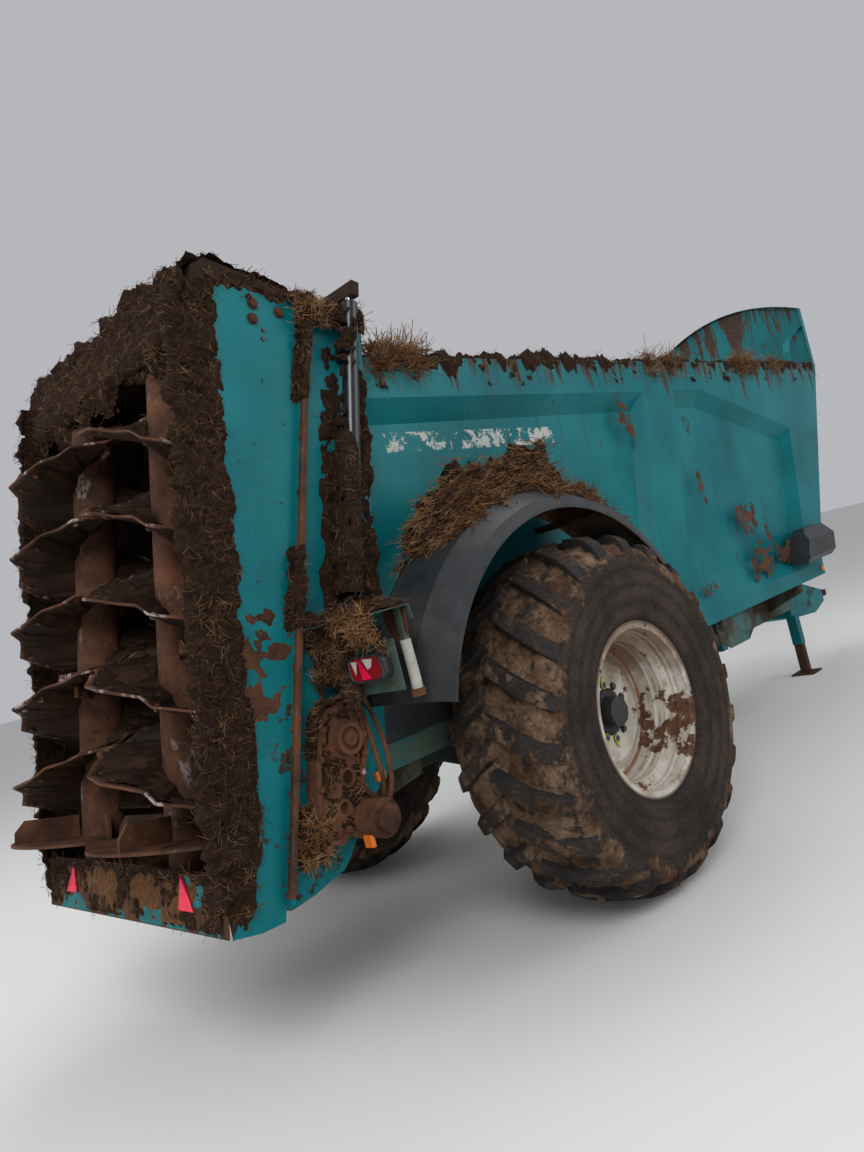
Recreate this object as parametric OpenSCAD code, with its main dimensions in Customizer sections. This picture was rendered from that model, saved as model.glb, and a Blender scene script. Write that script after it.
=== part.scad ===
// Single-axle manure spreader with two upright rear beaters, parked on its jack.
// Millimetres. +X is the machine's right, +Y is forward, +Z is up, and Z = 0 is the ground.
// Inside the modules Y is counted from the axle; at_axle() puts that frame in place.

/* [Wheels] */
// Outer diameter over the tips of the lugs
tyre_d = 1810; // [1700:5:1850]
// Width of the tyre
tyre_w = 645; // [560:5:680]
// Height of the tread's lugs
lug_h = 55; // [35:1:60]
// Diameter over the rim's flanges
rim_d = 864; // [800:2:900]
// Width over the rim's flanges
rim_w = 560; // [500:5:600]
// Distance between the middles of the two tyres
track = 2268; // [2260:2:2400]
// How far the wheel's nave lies inboard of the rim's outer edge
nave_inset = 235; // [200:5:260]
// Side of the square axle beam
axle_beam_w = 120; // [100:5:130]

/* [Body] */
// Width over the body's side rails
body_w = 1560; // [1500:10:1570]
// Depth of the pressed recesses in the sides
recess_depth = 80; // [50:5:90]
// Thickness of the sheets
sheet_t = 5; // [4:1:8]
// Height of the floor's upper face
floor_z = 1150; // [1140:5:1170]
// Height of the body's top edge
body_top_z = 2905; // [2800:5:2960]
// Height of the bottom rail's underside
rail_z = 991; // [985:1:1000]
// Height of the bottom rail
rail_h = 113; // [90:1:120]
// Where the front wall meets the bottom rail, ahead of the axle
front_foot_y = 4290; // [4200:10:4400]
// Lean of the front wall from upright, in degrees
front_lean = 31; // [28:0.5:33]
// Rise of the headboard's arch above the body's top edge, at the middle
headboard_rise = 815; // [600:5:850]
// Rise of the headboard at its two ends
headboard_end_rise = 600; // [450:5:620]

/* [Rear frame] */
// Width over the rear frame's side panels
frame_w = 1680; // [1670:5:1720]
// Thickness of the frame's side panels
frame_t = 8; // [6:1:10]
// Length of the lips folded back from the side panels
lip_l = 185; // [150:5:200]
// Thickness of the end posts, from the body's inner face outward
post_flange_w = 45; // [30:1:60]
// Thickness of each bolted flange
flange_t = 10; // [6:1:12]

/* [Beaters] */
// Distance from the middle to each beater's axis
beater_x = 410; // [408:1:415]
// Forward lean of the beaters, in degrees
beater_lean = 12.5; // [12:0.5:13]
// How far the discs' middles lie behind the axle
disc_back = 1955; // [1950:5:1970]
// Height of the discs' middles
disc_z = 985; // [980:5:1000]
// Radius of the discs
disc_r = 400; // [380:1:400]
// Radius of the beaters' tubes
beater_tube_r = 100; // [80:1:110]
// Radius over the flights
flight_r = 395; // [350:1:395]
// Length of the beaters above the discs
beater_l = 1990; // [1950:5:2000]
// Pitch of the flights
flight_pitch = 704; // [650:2:750]
// Thickness of the flights
flight_t = 8; // [6:1:10]

/* [Door] */
// Lean of the door and its cylinders, in degrees
gate_lean = 17; // [16.5:0.5:17.5]
// Height of the door's lower edge when it is shut
gate_z = 1186; // [1180:1:1195]
// Height of the door along its slope
gate_h = 2040; // [2000:5:2060]
// Thickness of the door's side rails
gate_t = 44; // [30:1:50]
// Clear gap between the door's side rails and their guides
gate_gap = 8; // [6:1:12]
// Outer radius of the lift cylinders
barrel_r = 38; // [30:1:40]
// Radius of their rods
rod_r = 20; // [15:1:22]

/* [Drawbar] */
// Distance from the axle to the middle of the drawbar's eye
eye_y = 6030; // [5900:10:6200]
// Height of the drawbar's eye
eye_z = 620; // [600:5:640]
// Radius of the hole in the eye
eye_hole_r = 25; // [20:0.5:30]
// Outer radius of the eye
eye_r = 75; // [60:1:80]
// Thickness of the eye
eye_t = 60; // [40:1:70]
// Distance from the axle to the jack
jack_y = 4840; // [4750:10:5000]
// Side of the jack's outer tube
jack_w = 90; // [80:1:100]

/* [Hidden] */

$fn = 64;
seat_gap = 0.3;
teal = "darkcyan";
rust = "saddlebrown";

wheel_z = tyre_d / 2;
wheel_x = track / 2;
side_x = body_w / 2;
skin_x = side_x - recess_depth;
inner_x = skin_x - sheet_t;
frame_x = frame_w / 2;
frame_inner_x = frame_x - frame_t;
rail_top_z = rail_z + rail_h;
front_rise = body_top_z + 30 - rail_top_z;
front_top_y = front_foot_y + front_rise * tan(front_lean);

// The whole machine is centred between its rearmost and foremost points.
rear_reach = disc_back + disc_r * cos(beater_lean);
front_reach = eye_y + eye_r;
axle_y = (rear_reach - front_reach) / 2;

// Place of the sloping front wall's inner face at height z
function front_wall_y(z) = front_foot_y + (z - rail_top_z) * tan(front_lean);

function unit(v) = v / norm(v);
function left_of(v) = [-v[1], v[0]];
function reversed(list) = [for (i = [len(list) - 1:-1:0]) list[i]];
// Corner of a path moved sideways by d, mitred between its two neighbours.
function moved_corner(p, i, d) =
    let (
        a = i == 0 ? unit(p[1] - p[0]) : unit(p[i] - p[i - 1]),
        b = i == len(p) - 1 ? a : unit(p[i + 1] - p[i]),
        n = unit(left_of(a) + left_of(b))
    ) p[i] + n * d / (n * left_of(a));
function moved_path(p, d) = [for (i = [0:len(p) - 1]) moved_corner(p, i, d)];

// A folded sheet: a path given thickness t on its left.
module folded(path, t) polygon(concat(path, reversed(moved_path(path, t))));

module at_axle() translate([0, axle_y, 0]) children();
// A Y-Z outline made into a plate from x0 to x1.
module along_x(x0, x1) translate([x0, 0, 0]) rotate([90, 0, 90]) linear_extrude(x1 - x0) children();
// An X-Z section run from y0 to y1.
module along_y(y0, y1) translate([0, y1, 0]) rotate([90, 0, 0]) linear_extrude(y1 - y0) children();
module at_wheel() at_axle() translate([wheel_x, 0, wheel_z]) rotate([0, 90, 0]) children();
module on_left() mirror([1, 0, 0]) children();
// Frame of one beater: origin at the disc's middle, Z up along the shaft.
module at_beater() at_axle() translate([beater_x, -disc_back, disc_z]) rotate([-beater_lean, 0, 0]) children();
// Frame of the door: origin at the middle of its lower edge, Z up along its slope.
gate_top_z = 3155;
gate_top_y = -790;
gate_foot_y = gate_top_y - (gate_top_z - gate_z) * tan(gate_lean);
module at_gate() at_axle() translate([0, gate_foot_y, gate_z]) rotate([-gate_lean, 0, 0]) children();
module box(lo, hi) translate(lo) cube(hi - lo);

// Chassis
chassis_x = 420;
chassis_w = 90;
chassis_z0 = 740;
chassis_y0 = -1400;
chassis_y1 = 4200;
web_t = 10;

module chassis_rails() color(teal) at_axle() for (s = [-1, 1]) scale([s, 1, 1]) chassis_rail();
module chassis_rail() {
    x_out = chassis_x + chassis_w / 2;
    x_in = chassis_x - chassis_w / 2;
    difference() {
        along_y(chassis_y0, chassis_y1)
            folded([[x_in, rail_z], [x_out, rail_z], [x_out, chassis_z0], [x_in, chassis_z0]], -web_t);
        box([x_in, -axle_beam_w / 2, wheel_z - axle_beam_w / 2],
            [x_out + 1, axle_beam_w / 2, wheel_z + axle_beam_w / 2]);
        along_x(x_in - 1, x_out + 1) polygon([[chassis_y0 - 1, chassis_z0 - 1], [-300, chassis_z0 - 1],
            [-560, tie_z], [chassis_y0 - 1, tie_z]]);
    }
}

// Each row: distance ahead of the axle
tie_rows = [-1000, 900, 2250, 3700];
tie_t = 80;
tie_z = 860;
module cross_members() color(teal) at_axle() {
    x_in = chassis_x + chassis_w / 2;
    for (y = tie_rows) {
        along_y(y - tie_t / 2, y + tie_t / 2)
            polygon([[-x_in + web_t, tie_z], [x_in - web_t, tie_z], [x_in - web_t, rail_z - web_t], [-x_in + web_t, rail_z - web_t]]);
        for (s = [-1, 1]) scale([s, 1, 1])
            along_y(y - tie_t / 2, y + tie_t / 2)
                polygon([[x_in, tie_z - 60], [x_in, rail_z], [side_x - 10, rail_z], [side_x - 10, rail_z - 70]]);
    }
    box([-inner_x, chassis_y0 - 100, tie_z], [inner_x, chassis_y0, rail_z - 6]);
    for (s = [-1, 1]) scale([s, 1, 1]) along_x(side_x - 60, side_x - 48)
        polygon([[2180, rail_z], [2180, 830], [2330, 760], [2640, 760], [2800, 850], [2800, rail_z]]);
}

module axle_beam() color("dimgray") at_axle() {
    box([-830, -axle_beam_w / 2, wheel_z - axle_beam_w / 2], [830, axle_beam_w / 2, wheel_z + axle_beam_w / 2]);
    for (s = [-1, 1]) scale([s, 1, 1]) translate([830, 0, wheel_z]) rotate([0, 90, 0]) {
        cylinder(r = spindle_r + 30, h = 60);
        cylinder(r = spindle_r, h = wheel_x + 60 - 830);
    }
}
spindle_r = 45;

// The drawbar's lower edge drops forward from under the chassis and rises again to the eye: [Y, Z].
bar_w = 200;
cheek_t = 10;
bar_root_y = 2600;
bar_end_y = eye_y - 190;
bar_belly = [[4340, 633], [5030, 531], [5550, 488], [bar_end_y, eye_z - 60]];
cheek_top_z = 815;
module drawbar() color(teal) at_axle() {
    along_x(-bar_w / 2, bar_w / 2) polygon(concat([[bar_root_y, chassis_z0], [bar_root_y, chassis_z0 - 50]], bar_belly,
        [[bar_end_y, eye_z + 60], [5350, chassis_z0]]));
    for (s = [-1, 1]) scale([s, 1, 1]) {
        along_x(bar_w / 2 - 1, bar_w / 2 + cheek_t) polygon(concat([[3250, chassis_z0], [3400, 664]], bar_belly,
            [[bar_end_y, eye_z + 60], [5400, cheek_top_z], [3350, cheek_top_z]]));
        for (y = [bar_root_y + 100, chassis_y1 - 100])
            box([bar_w / 2, y, chassis_z0 - 60], [chassis_x + chassis_w / 2, y + 90, chassis_z0]);
    }
}

module drawbar_eye() color("dimgray") at_axle() translate([0, eye_y, eye_z]) difference() {
    union() {
        translate([0, 0, -eye_t / 2]) cylinder(r = eye_r, h = eye_t);
        box([-50, -190, -eye_t / 2], [50, 0, eye_t / 2]);
    }
    translate([0, 0, -eye_t]) cylinder(r = eye_hole_r, h = 2 * eye_t);
}

// Jack on the right of the drawbar
jack_x = bar_w / 2 + cheek_t + jack_w / 2;
jack_bottom_z = 300;
jack_top_z = 1000;
jack_leg_top_z = 700;
jack_wall = 6;
jack_leg_w = jack_w - 2 * jack_wall - 2 * seat_gap;
module jack_tube() color(teal) at_axle() translate([jack_x, jack_y, 0]) difference() {
    box([-jack_w / 2, -jack_w / 2, jack_bottom_z], [jack_w / 2, jack_w / 2, jack_top_z]);
    box([-jack_w / 2 + jack_wall, -jack_w / 2 + jack_wall, jack_bottom_z - 1],
        [jack_w / 2 - jack_wall, jack_w / 2 - jack_wall, jack_top_z - jack_wall]);
}
module jack_leg() color("dimgray") at_axle() translate([jack_x, jack_y, 0]) {
    box([-jack_leg_w / 2, -jack_leg_w / 2, 15], [jack_leg_w / 2, jack_leg_w / 2, jack_leg_top_z]);
    box([-110, -110, 0], [110, 110, 15]);
}

// Floor
joist_rows = [-1100, -500, 100, 700, 1300, 1900, 2500, 3100, 3700];
floor_y0 = gate_foot_y;
floor_t = 10;
joist_h = 70;
module floor() color(rust) at_axle() {
    box([-inner_x, floor_y0, floor_z - floor_t], [inner_x, front_wall_y(floor_z), floor_z]);
    for (y = joist_rows) box([-inner_x, y - 30, floor_z - floor_t - joist_h], [inner_x, y + 30, floor_z - floor_t]);
}

// Floor conveyor: two chains with slats above and below the floor
chain_x = 330;
chain_w = 30;
chain_t = 14;
slat_h = 12;
slat_pitch = 350;
return_z = floor_z - floor_t - joist_h - seat_gap - chain_t;
shaft_y = -1440;
shaft_r = 25;
shaft_z = (floor_z + return_z) / 2 + chain_t / 2;
sprocket_r = (floor_z - return_z) / 2 - chain_t / 2;
slat_rows = [for (y = [-1300:slat_pitch:front_foot_y - 200]) y];
module floor_conveyor() color("dimgray") at_axle() {
    for (s = [-1, 1]) translate([s * chain_x, 0, 0]) {
        box([-chain_w / 2, shaft_y, floor_z], [chain_w / 2, front_foot_y - 150, floor_z + chain_t]);
        box([-chain_w / 2, shaft_y, return_z], [chain_w / 2, front_foot_y - 60, return_z + chain_t]);
        translate([-chain_w / 2, shaft_y, shaft_z]) rotate([0, 90, 0]) cylinder(r = sprocket_r + 2, h = chain_w);
    }
    translate([-frame_inner_x, shaft_y, shaft_z]) rotate([0, 90, 0]) cylinder(r = shaft_r, h = 2 * frame_inner_x);
    for (y = slat_rows) {
        box([-640, y, floor_z + chain_t - 4], [640, y + 40, floor_z + chain_t + slat_h]);
        box([-640, y, return_z - slat_h], [640, y + 40, return_z + 4]);
    }
}

// Body side. All outlines are [Y, Z].
side_rear_y = -1214;
side_top_rear_y = -730;
side_outline = [[side_rear_y, rail_z], [front_foot_y, rail_z], [front_foot_y, rail_top_z],
    [front_top_y, body_top_z + 30], [side_top_rear_y, body_top_z], [side_rear_y, 1000]];
// The pressed recesses: the outline at the outer face, then the smaller one at the depth
rear_recess_face = [[-1900, rail_top_z], [1385, rail_top_z], [1900, 2699], [-1500, 2699]];
rear_recess_back = [[-1900, 1315], [1390, 1315], [1800, 2585], [-1500, 2585]];
front_recess_face = [[1835, rail_top_z], [3960, rail_top_z], [4330, 2335], [2780, 2705], [2350, 2705]];
front_recess_back = [[1980, 1315], [3940, 1315], [4225, 2235], [2770, 2590], [2400, 2590]];
module recess(face, back) hull() {
    along_x(skin_x, skin_x + 0.1) polygon(back);
    along_x(side_x - 0.1, side_x + 0.1) polygon(face);
}
module body_side() color(teal) at_axle() difference() {
    along_x(inner_x, side_x) polygon(side_outline);
    recess(rear_recess_face, rear_recess_back);
    recess(front_recess_face, front_recess_back);
}
module side_right() body_side();
module side_left() on_left() body_side();

front_wall_top_z = body_top_z + 20;
module front_wall() color(teal) at_axle() {
    along_x(-inner_x, inner_x)
        folded([[front_wall_y(floor_z), floor_z], [front_wall_y(front_wall_top_z), front_wall_top_z]], -sheet_t);
    for (z = [1700, 2300])
        along_x(-inner_x, inner_x) polygon([[front_wall_y(z) + 1, z], [front_wall_y(z) + 75, z + 20],
            [front_wall_y(z + 80) + 75, z + 100], [front_wall_y(z + 120) + 1, z + 120]]);
}

headboard_y = front_top_y - 40;
// Height of the sides' top edge at a place along the machine
function side_top(y) = body_top_z + 30 * (y - side_top_rear_y) / (front_top_y - side_top_rear_y);
function headboard_top(x) = body_top_z + headboard_rise - (headboard_rise - headboard_end_rise) * pow(x / side_x, 2);
// The bent flat bars that hold the headboard from behind
brace_x = [700, 760];
brace_y = headboard_y - 610;
brace_z = side_top(brace_y + 105) + seat_gap;
brace_path = [[brace_y, brace_z], [brace_y + 105, brace_z], [brace_y + 130, brace_z + 128], [brace_y + 190, brace_z + 223],
    [brace_y + 310, brace_z + 300], [brace_y + 460, brace_z + 355], [headboard_y + 1, brace_z + 395]];
headboard_fold = [headboard_y - 40, headboard_y + sheet_t + 20];
module headboard() color(teal) at_axle() {
    arch = [for (i = [-8:8]) let (x = side_x * i / 8) [x, headboard_top(x)]];
    foot_z = side_top(headboard_fold[1]) + seat_gap;
    along_y(headboard_y, headboard_y + sheet_t)
        polygon(concat([[-side_x, foot_z]], arch, [[side_x, foot_z]]));
    along_y(headboard_fold[0], headboard_fold[1]) folded(reversed(arch), sheet_t);
    for (s = [-1, 1]) scale([s, 1, 1]) {
        box([side_x - sheet_t, headboard_fold[0], foot_z], [side_x, headboard_fold[1], headboard_top(side_x)]);
        along_x(brace_x[0], brace_x[1]) folded(brace_path, 8);
    }
}

// End post with the door's guide. All outlines are [Y, Z].
flange_foot = [-1859, 707];
flange_lean = 18.99;
flange_h = 240;
// Place of the flange at height z
function flange_y(z) = flange_foot[0] + (z - flange_foot[1]) * tan(flange_lean);
flange_top = [flange_y(body_top_z + flange_h), body_top_z + flange_h];
post_top_z = body_top_z + 185;
post_outline = [flange_foot, [-1841, 672], [-1724, 682], [-1556, 716], [-1505, 757], [-1450, 820], [-1400, 890],
    [side_rear_y, 1000], [side_top_rear_y, body_top_z], [side_top_rear_y + 30, body_top_z + 105],
    [side_top_rear_y - 30, post_top_z], [flange_y(post_top_z) + 3, post_top_z]];
module end_post() color(teal) {
    difference() {
        at_axle() along_x(inner_x, frame_inner_x) polygon(post_outline);
        at_gate() box([inner_x - 1, -gate_t / 2 - gate_gap, -gate_gap],
            [inner_x + 60 + gate_gap, gate_t / 2 + gate_gap, gate_h + 200]);
        at_axle() translate([inner_x - 1, shaft_y, shaft_z]) rotate([0, 90, 0]) cylinder(r = shaft_r + seat_gap, h = 200);
        at_beater() translate([0, 0, -60]) cylinder(r = flight_r + 20, h = beater_l);
    }
    at_axle() along_x(frame_inner_x, frame_x + post_flange_w)
        folded([flange_foot, flange_top], -flange_t);
}
module end_post_right() end_post();
module end_post_left() on_left() end_post();

// Side panel of the rear frame
// Rear edge of the side panel: [Y, Z, length of the lip folded back from it]
frame_rear_path = [[-2090, 680, 12], [-2010, 772, 0.45 * lip_l], [-1940, 914, 0.85 * lip_l],
    [-1880, 1162, lip_l], [-1541, 3000, lip_l]];
frame_rear_top = [-1505, 3197];
// The lip leans inward as it runs back: four corners at each point of the rear edge.
module lip() {
    n = len(frame_rear_path);
    points = [for (p = frame_rear_path) each [[frame_inner_x, p[0] + 8, p[1]], [frame_x, p[0] + 8, p[1]],
        [frame_x - lip_slant * p[2], p[0] - p[2], p[1]], [frame_inner_x - lip_slant * p[2], p[0] - p[2], p[1]]]];
    quads = [for (i = [0:n - 2], j = [0:3]) [4 * i + j, 4 * i + (j + 1) % 4, 4 * i + 4 + (j + 1) % 4, 4 * i + 4 + j]];
    polyhedron(points, concat([[3, 2, 1, 0]], quads, [[4 * n - 4, 4 * n - 3, 4 * n - 2, 4 * n - 1]]), convexity = 4);
}
lip_slant = 0.17;
module frame_side() color(teal) {
    at_axle() along_x(frame_inner_x, frame_x)
        polygon(concat([for (p = frame_rear_path) [p[0], p[1]]], [frame_rear_top, [-1480, 3210], flange_top, flange_foot, [-1880, 648], [-1990, 655]]));
    at_axle() along_x(frame_x, frame_x + post_flange_w)
        folded([flange_foot, flange_top], flange_t);
    at_axle() lip();
}
module frame_side_right() frame_side();
module frame_side_left() on_left() frame_side();

top_beam_outline = [[-1640, 3020], [-1560, 3265], [-1490, 3300], [-1200, 3215], [-1060, 3165], [-1090, 3010]];
module frame_top_beam() color(teal) {
    difference() {
        union() {
            at_axle() along_x(-frame_inner_x, frame_inner_x) polygon(top_beam_outline);
            for (s = [-1, 1]) scale([s, 1, 1]) at_beater() translate([0, 0, beater_l + 6]) cylinder(r = 75, h = 130);
        }
        for (s = [-1, 1]) scale([s, 1, 1]) at_beater() translate([0, 0, beater_l]) cylinder(r = beater_pin_r + seat_gap, h = beater_pin_l + 5);
    }
}

beater_pin_r = 30;
beater_pin_l = 110;
gearbox_r = 88;
foot_beam_x = 796;
module frame_foot_beam() color("dimgray") {
    at_beater() translate([-beater_x, 0, 0]) {
        box([-foot_beam_x, -90, -270], [foot_beam_x, 90, -150]);
        box([-frame_inner_x, 22, -265], [frame_inner_x, 85, -155]);
    }
    for (s = [-1, 1]) scale([s, 1, 1]) at_beater() {
        translate([0, 0, -150]) cylinder(r = gearbox_r, h = 125);
        translate([0, 0, -30]) cylinder(r = 35, h = 30 - seat_gap);
    }
    at_axle() box([-80, -1990, shaft_line_z - 80], [80, driveline_y0, shaft_line_z + 80]);
}
driveline_y0 = -1855;

// The apron is narrower where the lips reach back past it.
apron_edge = [[785, -95], [785, -228], [frame_inner_x - 2, -250], [frame_inner_x - 2, -325]];
module rear_apron() color(teal) at_beater() translate([-beater_x, 0, 0]) along_y(-96, -90)
    polygon(concat(apron_edge, [for (p = reversed(apron_edge)) [-p[0], p[1]]]));

// Mudguard: a crowned shell round the wheel, with its own middle behind the axle
guard_y = -150;
guard_z = wheel_z - 5;
guard_r = wheel_z + 275;
guard_x = frame_x + 4;
guard_lip_x = wheel_x + 156;
guard_path = [[guard_x, guard_r - 30], [guard_x + 15, guard_r], [guard_x + 60, guard_r + 20], [wheel_x + 16, guard_r],
    [guard_lip_x - 20, guard_r - 60], [guard_lip_x, guard_r - 105], [guard_lip_x, guard_r - 120]];
guard_arms = [60, 100, 135];
module mudguard() color([0.08, 0.09, 0.1]) at_axle() {
    translate([0, guard_y, guard_z]) rotate([0, 90, 0]) rotate([0, 0, 90])
        rotate_extrude(angle = 133, start = 27, $fn = 96) folded([for (p = guard_path) [p[1], p[0]]], 6);
    for (a = guard_arms)
        translate([skin_x + seat_gap, guard_y + (guard_r - 22) * cos(a), guard_z + (guard_r - 22) * sin(a)])
            rotate([0, 90, 0]) cylinder(r = 20, h = wheel_x - skin_x + 11);
}
module mudguard_right() mudguard();
module mudguard_left() on_left() mudguard();

module lamp_board() color(teal) at_axle() {
    box([frame_inner_x, -1380, 1380], [1260, -1374, 1585]);
    along_x(frame_inner_x, 1300) folded([[-1500, 1700], [-1290, 1700], [-1280, 1640]], -4);
    box([frame_inner_x, -1375, 1470], [900, -1330, 1697]);
    box([1236, -1318, 1345], [1262, -1292, 1698]);
}
module lamp_board_right() lamp_board();
module lamp_board_left() on_left() lamp_board();

lamp_round = 38;
module rear_lamps() color("red") at_axle() for (s = [-1, 1]) scale([s, 1, 1])
    translate([1120, -1380, 1490]) rotate([90, 0, 0])
    linear_extrude(45) offset(r = lamp_round) square([210 - 2 * lamp_round, 110 - 2 * lamp_round], center = true);

module marker_lamps() color("orange") at_axle() for (s = [-1, 1]) scale([s, 1, 1]) {
    box([side_x, front_foot_y - 90, rail_z + 35], [side_x + 16, front_foot_y - 40, rail_z + 75]);
    box([frame_inner_x, -1290, 990], [frame_inner_x + 16, -1240, 1030]);
}

// Gear case of the floor conveyor. Outline and holes are [Y, Z], from the photograph.
case_w = 70;
case_outline = [[-1562, 1309], [-1525, 1360], [-1466, 1370], [-1397, 1370], [-1345, 1348], [-1323, 1294],
    [-1323, 1225], [-1338, 1165], [-1374, 1091], [-1405, 1016], [-1360, 960], [-1338, 890],
    [-1362, 822], [-1440, 800], [-1542, 853], [-1582, 827], [-1633, 848], [-1669, 894], [-1671, 967],
    [-1641, 1078], [-1606, 1188]];
// Each hole in the cover: [Y, Z, radius]
case_holes = [[-1469, 1071, 27], [-1522, 961, 24], [-1616, 914, 14]];
case_boss = [-1441, 1224];
module conveyor_gearbox() color(rust) at_axle() translate([frame_inner_x, 0, 0]) {
    difference() {
        along_x(0, case_w) polygon(case_outline);
        along_x(case_w - 12, case_w + 1) offset(delta = -22) polygon(case_outline);
        for (h = case_holes) translate([case_w - 40, h[0], h[1]]) rotate([0, 90, 0]) cylinder(r = h[2], h = 60);
    }
    translate([case_w - 13, case_boss[0], case_boss[1]]) rotate([0, 90, 0]) difference() {
        cylinder(r = 66, h = 45);
        translate([0, 0, 33]) cylinder(r = 48, h = 13);
    }
    translate([case_w, case_boss[0], case_boss[1]]) rotate([0, 90, 0]) cylinder(r = 30, h = 36);
}

module hydraulic_motor() color([0.15, 0.15, 0.16]) at_axle() {
    translate([frame_inner_x + case_w + seat_gap, -1425, 885]) rotate([0, 90, 0]) {
        cylinder(r = 80, h = 105);
        cylinder(r = 55, h = 135);
    }
}

shaft_line_z = 800;
module driveline() color("dimgray") at_axle() {
    translate([0, front_box_y, shaft_line_z]) rotate([90, 0, 0]) cylinder(r = 28, h = front_box_y - driveline_y0);
    box([-95, front_box_y, chassis_z0], [95, front_box_y + front_box_l, shaft_line_z + 110]);
    translate([0, front_box_y + front_box_l, shaft_line_z]) rotate([-90, 0, 0]) cylinder(r = pto_r, h = 200);
    for (y = [tie_rows[1], tie_rows[3]]) box([-45, y - 25, shaft_line_z - 50], [45, y + 25, tie_z]);
}
pto_r = 17.5;
front_box_y = 4280;
front_box_l = 200;

tool_box_side = [[3640, 1160], [3600, 1225], [3720, 1400], [3830, 1440], [4230, 1440], [4260, 1340], [4200, 1160]];
tool_box_end = [[0, 1160], [130, 1160], [170, 1200], [170, 1345], [95, 1440], [0, 1440]];
module tool_box() color([0.1, 0.1, 0.11]) at_axle() intersection() {
    along_x(side_x, side_x + 200) polygon(tool_box_side);
    translate([side_x, 0, 0]) along_y(3500, 4300) polygon(tool_box_end);
}

barrel_x = 905;
barrel_len = 1400;
barrel_top = gate_h - 25;
module cylinder_barrels() color([0.1, 0.1, 0.11]) for (s = [-1, 1]) scale([s, 1, 1]) at_gate() {
    difference() {
        translate([barrel_x, 0, barrel_top - barrel_len]) cylinder(r = barrel_r, h = barrel_len);
        translate([barrel_x, 0, barrel_top - barrel_len + 60]) cylinder(r = rod_r + seat_gap, h = barrel_len);
    }
    for (h = [barrel_len - 200, 250])
        box([frame_inner_x, -30, barrel_top - h - 30], [barrel_x - barrel_r + 3, 30, barrel_top - h + 30]);
}

// Wheels, drawn about Z and laid on their side; +Z of the drawing is outboard.
rim_r = rim_d / 2;
bead_r = rim_r - 26;
bead_z = rim_w / 2 - 16 - seat_gap;
lug_count = 22;
// A facet's middle lies nearer the axle than its corners, so the bead's corners stand out by this much.
facet_grow = 1 / cos(180 / (2 * lug_count));
// Each row of the casing: distance from the tyre's middle, radius
bead_rows = [[bead_z, bead_r * facet_grow], [bead_z + 4, (rim_r + seat_gap) * facet_grow],
    [bead_z + 17, (rim_r + seat_gap) * facet_grow], [tyre_w / 2, bead_r + 190]];
flank_row = [tyre_w / 2 - 3, wheel_z - 199];
// Each row of the tread: distance from the tyre's middle, drop of the lug's top below the crown,
// share of the lug's height, turn of the lug in degrees
tread_rows = [[8, 0, 1, 0], [0.3 * tyre_w, 18, 0.93, 7.6], [0.42 * tyre_w, 58, 0.8, 10.6],
    [tyre_w / 2 - 16, 104, 0.6, 11.9]];
// Where the foot, top, top and foot of a lug lie in one pitch of the tread
lug_shares = [0.02, 0.08, 0.28, 0.34];
function ring(z, n, r, turn = 0) = [for (i = [0:n - 1]) let (a = 360 * i / n + turn) [r * cos(a), r * sin(a), z]];
function tread_ring(row, side) = [for (i = [0:4 * lug_count - 1]) let (
        k = (i + (side < 0 ? 2 : 0)) % 4,
        lug = floor((i + (side < 0 ? 2 : 0)) / 4) - (side < 0 ? 0.5 : 0),
        a = (lug + lug_shares[k]) * 360 / lug_count + row[3],
        tip = wheel_z - row[1],
        r = k == 1 || k == 2 ? tip : tip - lug_h * row[2]
    ) [r * cos(a), r * sin(a), side * row[0]]];
function strip(a, b, n) = [for (i = [0:n - 1]) let (j = (i + 1) % n) each [[a + i, b + i, b + j], [a + i, b + j, a + j]]];
// From a ring of n points to one of 2n, and back
function fan_out(a, b, n) = [for (i = [0:n - 1]) let (j = (i + 1) % n, k = (2 * i + 2) % (2 * n))
    each [[a + i, b + 2 * i, b + 2 * i + 1], [a + i, b + 2 * i + 1, a + j], [a + j, b + 2 * i + 1, b + k]]];
function fan_in(a, b, n) = [for (f = fan_out(b, a, n)) reversed(f)];
module tyre() color([0.1, 0.1, 0.1]) {
    n = 2 * lug_count;
    rows = len(bead_rows);
    treads = len(tread_rows);
    points = concat(
        [for (b = bead_rows) each ring(-b[0], n, b[1])],
        ring(-flank_row[0], 2 * n, flank_row[1]),
        [for (i = [treads - 1:-1:0]) each tread_ring(tread_rows[i], -1)],
        ring(0, 2 * n, wheel_z - lug_h),
        [for (t = tread_rows) each tread_ring(t, 1)],
        ring(flank_row[0], 2 * n, flank_row[1]),
        [for (i = [rows - 1:-1:0]) each ring(bead_rows[i][0], n, bead_rows[i][1])]);
    wide = rows * n;
    wide_rows = 2 * treads + 3;
    last = wide + wide_rows * 2 * n;
    faces = concat(
        [for (i = [0:rows - 2]) each strip(i * n, (i + 1) * n, n)],
        fan_out((rows - 1) * n, wide, n),
        [for (i = [0:wide_rows - 2]) each strip(wide + i * 2 * n, wide + (i + 1) * 2 * n, 2 * n)],
        fan_in(last - 2 * n, last, n),
        [for (i = [0:rows - 2]) each strip(last + i * n, last + (i + 1) * n, n)],
        strip(last + (rows - 1) * n, 0, n));
    polyhedron(points, faces, convexity = 10);
}
module tyre_right() at_wheel() tyre();
module tyre_left() on_left() at_wheel() tyre();

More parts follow.
